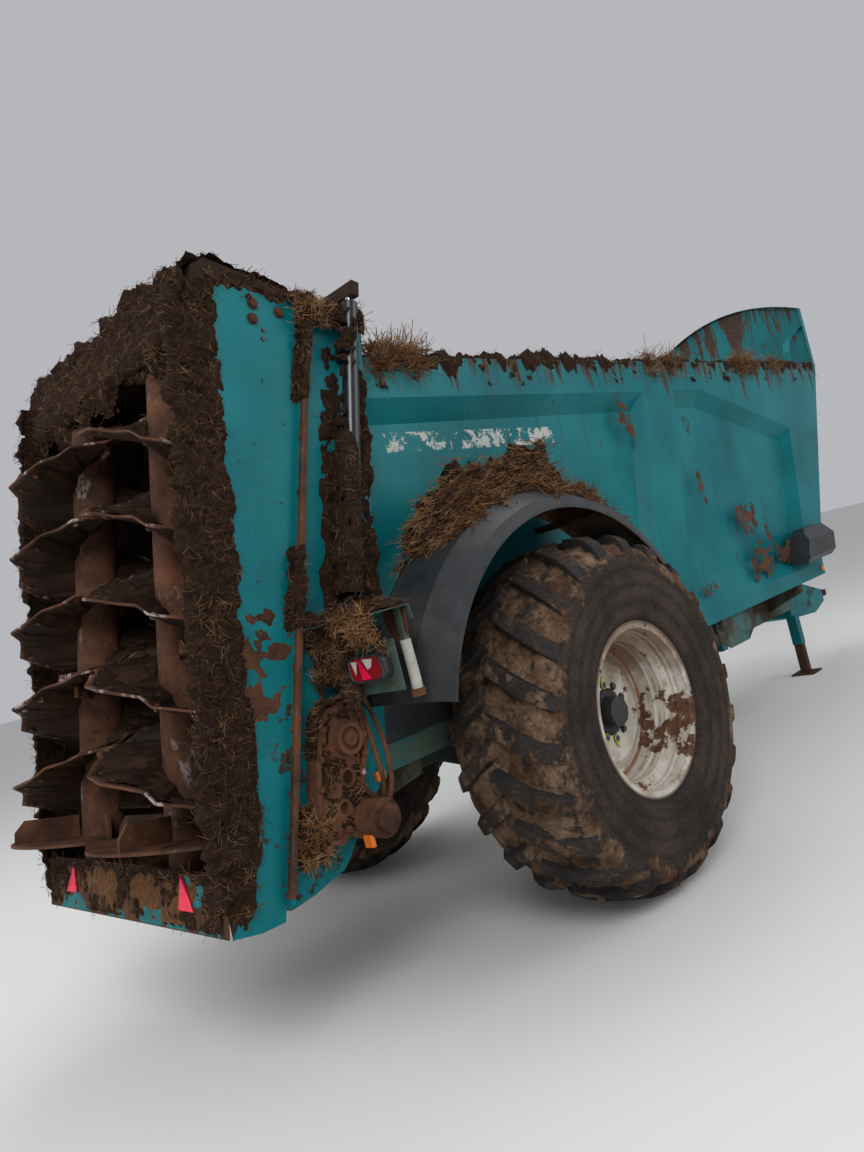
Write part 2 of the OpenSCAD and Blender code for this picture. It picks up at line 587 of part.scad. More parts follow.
rim_path = [[-rim_w / 2, rim_r], [-rim_w / 2 + 12, rim_r], [-rim_w / 2 + 16, bead_r - seat_gap],
    [-rim_w / 2 + 100, bead_r - 6], [-rim_w / 2 + 130, bead_r - 45], [rim_w / 2 - 130, bead_r - 45],
    [rim_w / 2 - 100, bead_r - 6], [rim_w / 2 - 16, bead_r - seat_gap], [rim_w / 2 - 12, rim_r], [rim_w / 2, rim_r]];
nave_z = rim_w / 2 - nave_inset;
hub_pilot_r = 120;
module rim() color("antiquewhite") {
    rotate_extrude($fn = 96) folded([for (p = rim_path) [p[1], p[0]]], 10);
    rotate_extrude($fn = 96)
        polygon([[hub_pilot_r, nave_z], [250, nave_z], [300, nave_z - 25], [bead_r - 50, nave_z - 25],
            [bead_r - 50, nave_z - 39], [290, nave_z - 39], [240, nave_z - 14], [hub_pilot_r, nave_z - 14]]);
}
module rim_right() at_wheel() rim();
module rim_left() on_left() at_wheel() rim();

module hub() color("dimgray") difference() {
    union() {
        translate([0, 0, nave_z - 14 - 25]) cylinder(r = 190, h = 25);
        translate([0, 0, nave_z - 180]) cylinder(r = 110, h = 180);
        translate([0, 0, nave_z - 1]) cylinder(r = 78, h = 65, $fn = 8);
        translate([0, 0, -250]) cylinder(r = 180, h = 100);
        translate([0, 0, -150]) cylinder(r = 90, h = nave_z);
    }
    translate([0, 0, -251]) cylinder(r = spindle_r + 45, h = 100);
    translate([0, 0, -151]) cylinder(r = spindle_r + seat_gap, h = 230);
}
module hub_right() at_wheel() hub();
module hub_left() on_left() at_wheel() hub();

// Beaters
module beater_tube() color(rust) at_beater() {
    translate([0, 0, 12]) cylinder(r = beater_tube_r, h = beater_l - 12);
    translate([0, 0, beater_l - 1]) cylinder(r = beater_pin_r, h = beater_pin_l);
}
module beater_tube_right() beater_tube();
module beater_tube_left() on_left() beater_tube();

// Each beater carries two flights of bent plates. Each row is a corner of one plate: its share of the plate's
// length, its share of the plate's rise, its reach below the flight's full radius.
plates_per_turn = 6;
flight_z0 = 120;
flight_turns = 2.5;
plate_rows = [[0, 0, 45], [0.2, 0.2, 0], [0.6, 0.46, 8], [0.75, 0.84, 35]];
function flight_corner(i) =
    let (
        n = len(plate_rows),
        row = plate_rows[i % n],
        plate = floor(i / n)
    ) [(plate + row[0]) * 360 / plates_per_turn, (plate + row[1]) * flight_pitch / plates_per_turn, flight_r - row[2]];
module flight() {
    n = len(plate_rows) * plates_per_turn * flight_turns;
    r_in = (beater_tube_r + seat_gap) / cos(0.2 * 360 / plates_per_turn);
    points = [for (i = [0:n]) let (c = flight_corner(i), u = [cos(c[0]), -sin(c[0])])
        each [[r_in * u[0], r_in * u[1], c[1]], [c[2] * u[0], c[2] * u[1], c[1]],
            [c[2] * u[0], c[2] * u[1], c[1] + flight_t], [r_in * u[0], r_in * u[1], c[1] + flight_t]]];
    sides = [for (i = [0:n - 1], j = [0:3]) let (k = (j + 1) % 4, a = 4 * i)
        each [[a + j, a + k, a + 4 + k], [a + j, a + 4 + k, a + 4 + j]]];
    polyhedron(points, concat([[3, 2, 1, 0]], sides, [[4 * n, 4 * n + 1, 4 * n + 2, 4 * n + 3]]), convexity = 10);
}
module beater_flight() color(rust) at_beater()
    for (a = [0, 180]) rotate([0, 0, a + flight_turn]) translate([0, 0, flight_z0]) flight();
flight_turn = -10;
module beater_flight_right() beater_flight();
module beater_flight_left() on_left() beater_flight();

paddle_h = 100;
module beater_disc() color(rust) at_beater() {
    cylinder(r = disc_r, h = 12);
    for (a = [0:90:270]) rotate([0, 0, a + 20]) translate([110, -6, 11])
        rotate([90, 0, 0]) mirror([0, 0, 1]) linear_extrude(12)
            polygon([[0, 0], [275, 0], [275, 50], [235, paddle_h], [0, paddle_h]]);
}
module beater_disc_right() beater_disc();
module beater_disc_left() on_left() beater_disc();

// Door
guide_x = inner_x + 60;
module door_panel() color(teal) at_gate() {
    box([-guide_x, -gate_t / 2, 0], [guide_x, -gate_t / 2 + 6, gate_h]);
    for (s = [-1, 1]) scale([s, 1, 1]) box([inner_x + 10, -gate_t / 2, 0], [guide_x, gate_t / 2, gate_h]);
    for (z = [0, 640, 1280, gate_h - 60]) box([-inner_x + 10, -gate_t / 2 + 6, z], [inner_x - 10, gate_t / 2, z + 60]);
    for (s = [-1, 1]) scale([s, 1, 1]) box([inner_x - 60, -gate_t / 2, gate_h], [barrel_x + 45, gate_t / 2, gate_h + 70]);
}
rod_len = barrel_len - 90;
module door_rods() color("silver") for (s = [-1, 1]) scale([s, 1, 1]) at_gate()
    translate([barrel_x, 0, gate_h - rod_len]) cylinder(r = rod_r, h = rod_len);

chassis_rails();
cross_members();
drawbar();
drawbar_eye();
jack_tube();
axle_beam();
floor();
floor_conveyor();
side_right();
side_left();
front_wall();
headboard();
end_post_right();
end_post_left();
frame_side_right();
frame_side_left();
frame_top_beam();
frame_foot_beam();
rear_apron();
mudguard_right();
mudguard_left();
lamp_board_right();
lamp_board_left();
rear_lamps();
marker_lamps();
conveyor_gearbox();
hydraulic_motor();
driveline();
tool_box();
cylinder_barrels();
tyre_right();
tyre_left();
rim_right();
rim_left();
hub_right();
hub_left();
beater_tube_right();
beater_tube_left();
beater_flight_right();
beater_flight_left();
beater_disc_right();
beater_disc_left();
door_panel();
door_rods();
jack_leg();
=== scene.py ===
import math
import random

import bpy
from mathutils import Matrix, Vector, noise


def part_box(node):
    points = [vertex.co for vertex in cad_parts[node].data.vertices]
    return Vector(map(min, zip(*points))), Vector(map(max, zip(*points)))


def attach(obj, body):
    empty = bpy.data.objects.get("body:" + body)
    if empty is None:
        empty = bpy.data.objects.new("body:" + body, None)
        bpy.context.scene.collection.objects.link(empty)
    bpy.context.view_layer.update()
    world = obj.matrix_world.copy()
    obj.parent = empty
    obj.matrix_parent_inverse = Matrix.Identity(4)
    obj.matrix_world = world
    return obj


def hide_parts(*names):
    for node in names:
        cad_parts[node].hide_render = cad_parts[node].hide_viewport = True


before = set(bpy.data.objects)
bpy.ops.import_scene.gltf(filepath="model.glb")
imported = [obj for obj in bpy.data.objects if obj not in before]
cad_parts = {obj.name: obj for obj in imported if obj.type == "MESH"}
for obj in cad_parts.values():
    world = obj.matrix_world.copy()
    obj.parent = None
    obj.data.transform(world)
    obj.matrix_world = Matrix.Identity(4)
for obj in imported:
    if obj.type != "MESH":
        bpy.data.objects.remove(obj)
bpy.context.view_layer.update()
rnd = random.Random(7)

# places that the CAD gives
wheelX, axleY, axleZ = [(low + high) / 2 for low, high in zip(*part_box("tyre_right"))]
sides = ((1, "right"), (-1, "left"))
sideName = dict(sides)


def place(x, y, z):  # y counted from the axle
    return Vector((x, y + axleY, z))


# camera, light and floor
cameraSet = {"spot": (3.75, -3.628, 1.736), "lens": 27.03,
             "right": (0.6903, 0.6796, -0.2483), "up": (0.1864, 0.1646, 0.9686),
             "back": (0.6991, -0.7149, -0.0131)}


def addCamera():
    data = bpy.data.cameras.new("camera")
    data.lens = cameraSet["lens"]
    data.sensor_width = 36
    data.clip_end = 200
    cam = bpy.data.objects.new("camera", data)
    bpy.context.collection.objects.link(cam)
    turn = Matrix((cameraSet["right"], cameraSet["up"], cameraSet["back"])).transposed().to_4x4()
    cam.matrix_world = Matrix.Translation(place(*cameraSet["spot"])) @ turn
    bpy.context.scene.camera = cam


# each lamp: power, size, place, what it looks at
lightSet = {"key": (600, 5, (7, -9, 8), (0, -1, 1.5)), "fill": (240, 6, (8, 4, 5), (0, 0, 1.5)),
            "rear": (300, 5, (-5, -10, 5), (0, -4, 1.5)), "top": (240, 6, (-2, 1, 9), (0, 0, 1.5))}
stageSet = {"half": 60, "floor": (0.72, 0.71, 0.69, 1), "sky": (0.93, 0.95, 1, 1), "strength": 0.50}


def addLight(name, power, size, spot, target):
    data = bpy.data.lights.new(name, "AREA")
    data.energy = power
    data.size = size
    lamp = bpy.data.objects.new(name, data)
    bpy.context.collection.objects.link(lamp)
    lamp.location = spot
    lamp.rotation_euler = (Vector(target) - Vector(spot)).to_track_quat("-Z", "Y").to_euler()


def addStage():
    mesh = bpy.data.meshes.new("floor")
    s = stageSet["half"]
    mesh.from_pydata([(-s, -s, 0), (s, -s, 0), (s, s, 0), (-s, s, 0)], [], [(0, 1, 2, 3)])
    ground = bpy.data.objects.new("studio_floor", mesh)
    bpy.context.collection.objects.link(ground)
    mat = bpy.data.materials.new("studioFloor")
    mat.use_nodes = True
    shader = mat.node_tree.nodes["Principled BSDF"]
    shader.inputs["Base Color"].default_value = stageSet["floor"]
    shader.inputs["Roughness"].default_value = 0.9
    mesh.materials.append(mat)
    world = bpy.data.worlds.new("studio")
    bpy.context.scene.world = world
    world.use_nodes = True
    world.node_tree.nodes["Background"].inputs["Color"].default_value = stageSet["sky"]
    world.node_tree.nodes["Background"].inputs["Strength"].default_value = stageSet["strength"]
    for name, row in lightSet.items():
        addLight(name, *row)


addCamera()
addStage()
bpy.context.scene.view_settings.view_transform = "Standard"
print("camera and light stand")


# material helpers
class Wire:  # a node's output, which takes plain arithmetic
    def __init__(self, finish, socket):
        self.finish = finish
        self.socket = socket

    def math(self, kind, other=0.0):
        return self.finish.node("Math", "Value", ((0, self), (1, other)), operation=kind)

    def __add__(self, other):
        return self.math("ADD", other)

    def __sub__(self, other):
        return self.math("SUBTRACT", other)

    def __mul__(self, other):
        return self.math("MULTIPLY", other)

    def __pow__(self, other):
        return self.math("POWER", other)

    def __abs__(self):
        return self.math("ABSOLUTE")

    def most(self, other):
        return self.math("MAXIMUM", other)

    def ramp(self, low, high, start=0.0, end=1.0):  # a soft step from start to end
        rows = (("From Min", low), ("From Max", high), ("To Min", start), ("To Max", end), ("Value", self))
        return self.finish.node("MapRange", "Result", rows, interpolation_type="SMOOTHSTEP")


class Finish:  # a material's node tree, with short ways to add nodes
    def __init__(self, name, roughness=0.6, metallic=0.0, gloss=0.12):
        self.mat = bpy.data.materials.new(name)
        self.mat.use_nodes = True
        self.tree = self.mat.node_tree
        self.shader = self.tree.nodes["Principled BSDF"]
        for key, v in (("Roughness", roughness), ("Metallic", metallic), ("Specular IOR Level", gloss)):
            self.shader.inputs[key].default_value = v
        self.coords = self.node("TexCoord", "Object")

    def feed(self, socket, v):
        if isinstance(v, Wire):
            self.tree.links.new(v.socket, socket)
        else:
            socket.default_value = (*v, 1) if socket.type == "RGBA" else v

    def node(self, kind, out, inputs=(), **settings):
        made = self.tree.nodes.new("ShaderNode" + kind)
        for key, v in settings.items():
            setattr(made, key, v)
        for key, v in inputs:
            self.feed(made.inputs[key], v)
        return Wire(self, made.outputs[out])

    def stretched(self, scale, turn=(0, 0, 0)):
        rows = (("Scale", scale), ("Rotation", turn), ("Vector", self.coords))
        return self.node("Mapping", "Vector", rows)

    def noise(self, scale, detail=4, rough=0.6, vector=None, distort=0.0):
        return self.node("TexNoise", "Fac", (("Scale", scale), ("Detail", detail), ("Roughness", rough),
                                             ("Distortion", distort), ("Vector", vector or self.coords)))

    def part(self, axis, vector=None):  # one object coordinate
        return self.node("SeparateXYZ", axis, (("Vector", vector or self.coords),))

    def mix(self, amount, a, b, **how):
        return self.node("Mix", "Result", (("Factor", amount), ("A", a), ("B", b)), data_type="RGBA", **how)

    def tone(self, value, *stops):  # colours along a value
        wire = self.node("ValToRGB", "Color", (("Fac", value),))
        ramp = wire.socket.node.color_ramp
        while len(ramp.elements) < len(stops):
            ramp.elements.new(0.5)
        for element, (at, colour) in zip(ramp.elements, stops):
            element.position = at
            element.color = (*colour, 1)
        return wire

    def done(self, colour, height, strength, distance=0.01, roughness=None):
        self.feed(self.shader.inputs["Base Color"], colour)
        if roughness:
            self.feed(self.shader.inputs["Roughness"], roughness)
        rows = (("Strength", strength), ("Distance", distance), ("Height", height))
        self.feed(self.shader.inputs["Normal"], self.node("Bump", "Normal", rows))
        return self.mat


mud = (0.060, 0.034, 0.018)
darkMud = (0.022, 0.013, 0.008)
rustTone = (0.120, 0.038, 0.014)
tealTones = ((0.001, 0.095, 0.110), (0.003, 0.135, 0.152), (0.010, 0.172, 0.188))


def band(value, low, high, edge=0.006):
    return value.ramp(low, low + edge) * value.ramp(high - edge, high, 1, 0)


def weatheredPaint(name, wear=0.5, grime=0.5, streaks=0.5, splash=None, drip=None, mark=None, dried=None,
                   inside=None, rail=None):
    f = Finish(name, gloss=0.10)
    base = f.tone(f.noise(1.3, 3), *zip((0.3, 0.5, 0.75), tealTones))
    runs = f.noise(1.0, 5, 0.65, f.stretched((14, 14, 0.9)))
    base = f.mix(runs.ramp(0.52, 0.75, 0, 0.55 * streaks), base, (0.018, 0.060, 0.058))
    fine = f.noise(1.0, 4, 0.6, f.stretched((60, 60, 4)))
    base = f.mix(fine.ramp(0.5, 0.8, 0, 0.35 * streaks), base, (0.012, 0.175, 0.185))
    dirtHere = f.noise(2.6, 7, 0.7).ramp(0.66 - 0.16 * grime, 0.74 - 0.10 * grime, 0, 0.85)
    if splash:  # more mud below a height
        flecks = f.part("Z").ramp(*splash, 1, 0) * 0.085 + f.noise(9, 8, 0.75)
        dirtHere = dirtHere.most(flecks.ramp(0.635, 0.665, 0, 0.95))
    rusted = f.noise(16, 10, 0.72, distort=0.4).ramp(0.70 - 0.10 * wear, 0.725 - 0.10 * wear)
    if drip:  # rust that runs down from an upper edge
        lines = f.noise(1.0, 6, 0.7, f.stretched((9, 9, 0.7))) + f.part("Z").ramp(*drip, 0, 0.24)
        rusted = rusted.most(lines.ramp(0.70, 0.78, 0, 0.85))
    if mark:  # a plain worn stripe between two heights
        span = f.part("Y") - axleY
        level = f.part("Z") - span * mark["rise"]
        stripe = band(level, mark["low"], mark["high"]) * band(span, mark["from"], mark["to"])
        base = f.mix(stripe * f.noise(11, 9, 0.75).ramp(0.50, 0.53), base, (0.42, 0.44, 0.40))
    soil = f.tone(f.noise(26, 6, 0.7), (0.35, darkMud), (0.6, mud), (0.8, (0.115, 0.070, 0.036)))
    if dried:  # a film of dried dirt over the paint
        base = f.mix(f.noise(2.1, 6, 0.7).ramp(0.36, 0.58, 0.35, 0.9), base, dried)
    shown = f.mix(rusted, base, f.tone(f.noise(40, 4), (0.35, (0.045, 0.018, 0.010)), (0.65, rustTone)))
    shown = f.mix(dirtHere, shown, soil)
    if rail:  # the bottom rail behind the wheel is dull with dried dirt
        low = f.part("Z").ramp(1.100, 1.112, 0.85, 0) * f.part("Y").ramp(axleY, axleY + 0.9, 1, 0)
        shown = f.mix(low * f.noise(3.5, 7, 0.7).ramp(0.30, 0.50), shown, rail)
    if inside:  # old manure covers the faces that look at the beaters
        within = abs(f.part("X")).ramp(inside, inside + 0.003, 1, 0)
        shown = f.mix(within * f.noise(5, 7, 0.7).ramp(0.30, 0.42), shown, (0.020, 0.013, 0.009))
    return f.done(shown, dirtHere * 0.6 + f.noise(90, 5) * 0.25, 0.5, 0.004,
                  rusted.most(dirtHere).ramp(0, 1, 0.34, 0.88))


beaterSet = {"x": 0.410, "y": -1.955, "z": 0.985, "lean": math.radians(12.5)}
leanCos, leanSin = math.cos(beaterSet["lean"]), math.sin(beaterSet["lean"])


def beaterRadius(f):  # distance from the leaning axis of the nearer beater
    x = abs(f.part("X")) - beaterSet["x"]
    y = (f.part("Y") - (beaterSet["y"] + axleY)) * leanCos - (f.part("Z") - beaterSet["z"]) * leanSin
    return (x ** 2 + y ** 2).math("SQRT")


def rustySteel(name, pale=0.5, dark=0.0, caked=0.4, worn=0.0):
    f = Finish(name, 0.75)
    tone = f.tone(f.noise(5, 8, 0.7), (0.30, (0.020, 0.011, 0.008)), (0.48, (0.075, 0.034, 0.020)),
                  (0.70, (0.155, 0.066, 0.034)))
    flakes = f.noise(7, 9, 0.75, f.stretched((1, 1, 0.55)))
    flakes = flakes.ramp(0.62 - 0.05 * pale, 0.68 - 0.04 * pale, 0, 0.75 * pale)
    tone = f.mix(flakes, tone, (0.36, 0.29, 0.27))
    lumps = f.noise(3.1, 8, 0.7)
    soil = f.tone(f.noise(30, 6, 0.7), (0.4, darkMud), (0.7, mud))
    tone = f.mix(lumps.ramp(0.62 - 0.14 * caked, 0.68 - 0.14 * caked, 0, 0.9), tone, soil)
    # dark mixes the tone towards near-black; on the beater blades and the inside panels it is painted shade
    tone = f.mix(dark, tone, (0.012, 0.009, 0.007))
    if worn:  # rubbed bright towards the beater's outer edge
        rub = (beaterRadius(f) + f.noise(9, 6) * 0.03).ramp(0.412, 0.424, 0, worn)
        bright = f.tone(f.noise(3, 5), (0.42, (0.10, 0.045, 0.035)), (0.6, (0.26, 0.19, 0.16)))
        tone = f.mix(rub, tone, bright)
    return f.done(tone, f.noise(24, 9, 0.75) + lumps * 1.5, 0.55, 0.008)


def manureFinish(name, pale, deep=(0.008, 0.005, 0.003), plain=(0.027, 0.014, 0.008),
                 dry=(0.070, 0.037, 0.020)):
    f = Finish(name, 0.93)
    fibres = f.noise(1.0, 8, 0.8, f.stretched((90, 25, 60), (0.6, 0.4, 0.8)))
    crumbs = f.noise(34, 9, 0.78)
    tone = f.tone(crumbs, (0.30, deep), (0.52, plain), (0.75, dry))
    tone = f.mix(fibres.ramp(0.60 - 0.1 * pale, 0.72 - 0.1 * pale, 0, 0.8), tone, (0.125, 0.072, 0.036))
    return f.done(tone, crumbs + fibres * 0.7, 0.9, 0.012)


def strawFinish(name, dark, plain, pale):
    f = Finish(name, 0.75)
    f.feed(f.shader.inputs["Base Color"], f.tone(f.noise(14, 4), (0.30, dark), (0.52, plain), (0.78, pale)))
    return f.mat


def wheelRadius(f):
    return ((f.part("Y") - axleY) ** 2 + (f.part("Z") - axleZ) ** 2).math("SQRT")


def treadFinish():
    f = Finish("muddyTread", 0.88)
    # what the fine tyre stores at its corners: soil, ring of the tread
    stored = f.node("Attribute", "Color", attribute_name="wear")
    soil, ring = [f.node("SeparateColor", key, (("Color", stored),)) for key in ("Red", "Blue")]
    rubber = f.tone(f.noise(7, 8, 0.7), (0.32, (0.020, 0.018, 0.018)), (0.52, (0.036, 0.032, 0.030)),
                    (0.75, (0.068, 0.055, 0.046)))
    flank = f.tone(f.noise(3.2, 7, 0.68), (0.34, (0.022, 0.018, 0.016)), (0.62, (0.062, 0.045, 0.035)))
    hoops = (wheelRadius(f) * 75).math("SINE")
    flank = f.mix(hoops.ramp(-0.2, 1.0, 0, 0.45), flank, (0.018, 0.016, 0.016))
    base = f.mix(ring.ramp(0.3, 0.7), flank, rubber)
    here = (soil + (f.noise(21, 10, 0.8) - 0.5) * 1.5).ramp(0.36, 0.58)
    mudTone = f.tone(f.noise(6, 6, 0.7), (0.38, (0.070, 0.034, 0.018)), (0.50, (0.135, 0.082, 0.050)),
                     (0.66, (0.245, 0.168, 0.112)))
    darker = f.tone(f.noise(60, 6, 0.7), (0.3, (0.45, 0.42, 0.40)), (0.6, (1.0, 1.0, 1.0)))
    tone = f.mix(1.0, f.mix(here, base, mudTone), darker, blend_type="MULTIPLY")
    return f.done(tone, here * 0.9 + f.noise(70, 8, 0.75) * 0.8, 0.7, 0.005)


def rimFinish():
    f = Finish("wornRimPaint", gloss=0.3)
    across = abs(f.part("X")) - wheelX
    front = f.part("Y") - axleY
    high = f.part("Z") - axleZ
    radius = wheelRadius(f)
    tone = f.tone(f.noise(5, 5), (0.3, (0.36, 0.315, 0.255)), (0.7, (0.60, 0.565, 0.50)))
    film = f.noise(4.5, 8, 0.7) + high.ramp(-0.05, 0.30, -0.10, 0.14)
    tone = f.mix(film.ramp(0.46, 0.66, 0, 0.80), tone, (0.20, 0.125, 0.075))
    hoops = (across * 120).math("SINE").ramp(0.2, 0.9)
    tone = f.mix(hoops * f.noise(7, 7, 0.7).ramp(0.46, 0.56, 0, 0.55), tone, (0.16, 0.085, 0.045))
    ring = abs(radius - 0.332) + (f.noise(12, 7, 0.7) - 0.5) * 0.02
    tone = f.mix(ring.ramp(0.007, 0.014, 0.9, 0), tone, (0.26, 0.095, 0.040))
    flakes = f.noise(8.5, 9, 0.72) + front.ramp(0.10, 0.28) * high.ramp(0.10, -0.06) * 0.105
    rusted = flakes.ramp(0.605, 0.625)
    rustColour = f.tone(f.noise(26, 6), (0.35, (0.060, 0.026, 0.014)), (0.65, (0.145, 0.065, 0.035)))
    tone = f.mix(rusted, tone, rustColour)
    tone = f.mix(radius.ramp(0.4215, 0.4235, 0, 0.8), tone, (0.075, 0.052, 0.038))
    return f.done(tone, f.noise(30, 6) * 0.4 - rusted * 0.6, 0.5, 0.004, rusted.ramp(0, 1, 0.45, 0.9))


def plasticFinish(name, dusty=0.5, under=False):
    f = Finish(name, gloss=0.25)
    tone = f.tone(f.noise(4, 6), (0.3, (0.014, 0.015, 0.017)), (0.7, (0.036, 0.039, 0.043)))
    film = f.noise(2.4, 8, 0.7, f.stretched((1, 1, 0.6)))
    film = film.ramp(0.58 - 0.16 * dusty, 0.80 - 0.16 * dusty, 0, 0.75)
    tone = f.mix(film, tone, (0.075, 0.056, 0.042))
    if under:  # mud thrown up at the face that looks towards the wheel
        facing = f.node("NewGeometry", "Normal")
        along = f.part("Y", facing) * (f.part("Y") - (axleY - 0.15))
        up = f.part("Z", facing) * (f.part("Z") - axleZ)
        mudHere = f.tone(f.noise(7, 8, 0.7), (0.38, (0.030, 0.015, 0.008)), (0.55, (0.120, 0.055, 0.024)),
                         (0.72, (0.200, 0.120, 0.065)))
        tone = f.mix((along + up).ramp(0.0, -0.15), tone, mudHere)
    return f.done(tone, f.noise(140, 4), 0.15, 0.002, film.ramp(0, 1, 0.42, 0.88))


def plainFinish(name, colour, roughness, metallic=0.0, vary=0.25):
    f = Finish(name, roughness, metallic, 0.5)
    dark = tuple(c * (1 - vary) for c in colour)
    return f.done(f.tone(f.noise(18, 6), (0.35, dark), (0.65, colour)), f.noise(60, 5), 0.15, 0.002)


stripeSet = {"low": 2.425, "high": 2.535, "rise": -0.020, "from": -0.600, "to": 0.83}
finish = {
    "board": weatheredPaint("tealLampBoard", 0.9, 1.3, 0.4, dried=(0.070, 0.095, 0.075)),
    "case": rustySteel("pinkishRust", 0.35, 0, 0.10),
    "tealSide": weatheredPaint("tealBodySide", 0.22, 0.12, 0.8, drip=(2.45, 2.93), mark=stripeSet,
                               rail=(0.095, 0.110, 0.078)),
    "tealHead": weatheredPaint("tealHeadboard", 1.05, 0.3, 0.6, drip=(2.9, 3.6)),
    "tealRear": weatheredPaint("tealRearFrame", 0.5, 0.15, 0.3, splash=(1.25, 1.90), inside=0.8345),
    "tealPost": weatheredPaint("tealPosts", 0.4, 0.1, 0.3, splash=(1.0, 1.5), inside=0.828),
    "apron": rustySteel("dirtyApron", 0.0, 0.1, 0.5),
    "tealLow": weatheredPaint("tealUnderbody", 0.7, 0.8, 0.4),
    "rust": rustySteel("rustySteel", 0.35, 0, 0.4),
    # the beater blades and the inside panels are mixed strongly towards near-black: painted shade for faces
    # out of the light, beside real caked manure
    "blade": rustySteel("beaterBladePaintedShade", 0.0, 0.62, 0.8, 0.8),
    "tealInner": rustySteel("cakedInsidePaintedShade", 0.0, 0.80, 0.9),
    "dark": rustySteel("dullSteel", 0.1, 0.45, 0.5),
    "manure": manureFinish("cakedManure", 0.35),
    "dry": manureFinish("dryManure", 0.9),
    "straw": strawFinish("wetStraw", (0.030, 0.015, 0.008), (0.095, 0.048, 0.024), (0.30, 0.19, 0.10)),
    "hay": strawFinish("dryStraw", (0.065, 0.028, 0.012), (0.185, 0.092, 0.040), (0.37, 0.23, 0.11)),
    "crust": rustySteel("rustCrust", 0.05, 0.05, 0.15),
    "clay": manureFinish("yellowDirt", 0.6, (0.055, 0.026, 0.012), (0.150, 0.070, 0.028),
                         (0.260, 0.135, 0.055)),
    "tealChip": weatheredPaint("tealFlakes", 0.3, 0.0, 0.2),
    "white": plainFinish("whiteReflector", (0.62, 0.58, 0.55), 0.3),
    "pink": plainFinish("brightReflector", (0.95, 0.008, 0.07), 0.3),
    "lensDark": plainFinish("lampHousing", (0.030, 0.032, 0.040), 0.35),
    "tube": rustySteel("beaterTube", 0.75, 0, 0.35),
    "paleTube": plainFinish("dirtyPalePlastic", (0.40, 0.38, 0.34), 0.6),
    "yellow": plainFinish("greenYellowPlastic", (0.42, 0.46, 0.05), 0.5),
    "tread": treadFinish(),
    "rim": rimFinish(),
    "plastic": plasticFinish("dustyPlastic", 0.45),
    "guard": plasticFinish("mudguardPlastic", 0.45, True),
    "hub": plasticFinish("hubPaint", 0.35),
    "edge": rustySteel("wornEdge", 1.6, 0, 0.05),
    "tealDirty": weatheredPaint("dirtyRails", 0.6, 1.6, 0.4, dried=(0.085, 0.090, 0.062)),
    "black": plainFinish("glossBlack", (0.012, 0.014, 0.018), 0.22),
    "chrome": plainFinish("hardChrome", (0.72, 0.72, 0.74), 0.12, 1.0, 0.1),
    "lens": plainFinish("redLens", (0.26, 0.008, 0.012), 0.22),
    "orange": plainFinish("orangeLens", (0.75, 0.17, 0.01), 0.25),
}

# which CAD nodes take which finish; a star stands for right and left
nodeFinish = {
    "tealSide": "side_* front_wall",
    "tealHead": "headboard",
    "apron": "rear_apron",
    "tealRear": "frame_side_*",
    "tealPost": "end_post_*",
    "board": "lamp_board_*",
    "tealInner": "door_panel frame_top_beam",
    "tealLow": "drawbar jack_tube",
    "case": "conveyor_gearbox",
    "rust": "floor frame_foot_beam beater_disc_*",
    "blade": "beater_flight_*",
    "tube": "beater_tube_*",
    "dark": "drawbar_eye axle_beam floor_conveyor driveline jack_leg",
    "crust": "hydraulic_motor",
    "hub": "hub_*",
    "guard": "mudguard_*",
    "plastic": "tool_box",
    "tealDirty": "chassis_rails cross_members",
    "lensDark": "rear_lamps",
    "orange": "marker_lamps",
    "black": "cylinder_barrels",
    "chrome": "door_rods",
    "tread": "tyre_*",
    "rim": "rim_*",
}
for key, nodes in nodeFinish.items():
    for node in {n.replace("*", name) for n in nodes.split() for side, name in sides}:
        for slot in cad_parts[node].material_slots:
            slot.material = finish[key]
print("finishes are on the CAD nodes")


# mesh helpers
def addPiece(name, verts, faces, material, body="root", smooth=True):
    mesh = bpy.data.meshes.new(name)
    mesh.from_pydata([tuple(v) for v in verts], [], faces)
    mesh.materials.append(finish[material])
    mesh.polygons.foreach_set("use_smooth", [smooth] * len(mesh.polygons))
    mesh.update()
    piece = bpy.data.objects.new(name, mesh)
    bpy.context.collection.objects.link(piece)
    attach(piece, body)
    return piece


def clods(p, scale=9.0, octaves=5):
    return noise.fractal(p * scale, 0.9, 2.1, octaves)


def crumbs(p, broad, share, fine, octaves=3):  # broad clods with finer ones on them
    return clods(p, broad) + share * clods(p, fine, octaves)


def bell(x, middle, width):
    return math.exp(-((x - middle) / width) ** 2)


def soft(t):
    t = min(1.0, max(0.0, t))
    return t * t * (3 - 2 * t)


def flip(q, side):
    return Vector((side * q.x, q.y, q.z))


def dirtPatch(name, spot, nu, nv, thick, body="root", material="manure"):
    # spot(u, v) gives a place and the way out of it, thick(u, v, place) the dirt's height there
    tops, lifts = [], []
    for j in range(nv + 1):
        for i in range(nu + 1):
            u, v = i / nu, j / nv
            p, n = spot(u, v)
            h = thick(u, v, p)
            tops.append(p + n * max(h, -0.002))
            lifts.append((h, n))
    faces, shown = [], []
    for j in range(nv):
        for i in range(nu):
            a = j * (nu + 1) + i
            corners = (a, a + 1, a + nu + 2, a + nu + 1)
            if any(lifts[k][0] > 0 for k in corners):
                faces.append(corners)
                if lifts[a][0] > 0.002:
                    shown.append((tops[a], lifts[a][1]))
    used = sorted({k for f in faces for k in f})
    placeOf = {k: n for n, k in enumerate(used)}
    addPiece(name, [tops[k] for k in used], [tuple(placeOf[k] for k in f) for f in faces], material, body)
    return shown


def sidePatch(stem, side, spot, nu, nv, thick, body="root", material="manure"):
    # spot is given for the right side, and mirrored for the left
    def here(u, v):
        return [flip(q, side) for q in spot(u, v)]

    return dirtPatch(stem + "_" + sideName[side], here, nu, nv, thick, body, material)


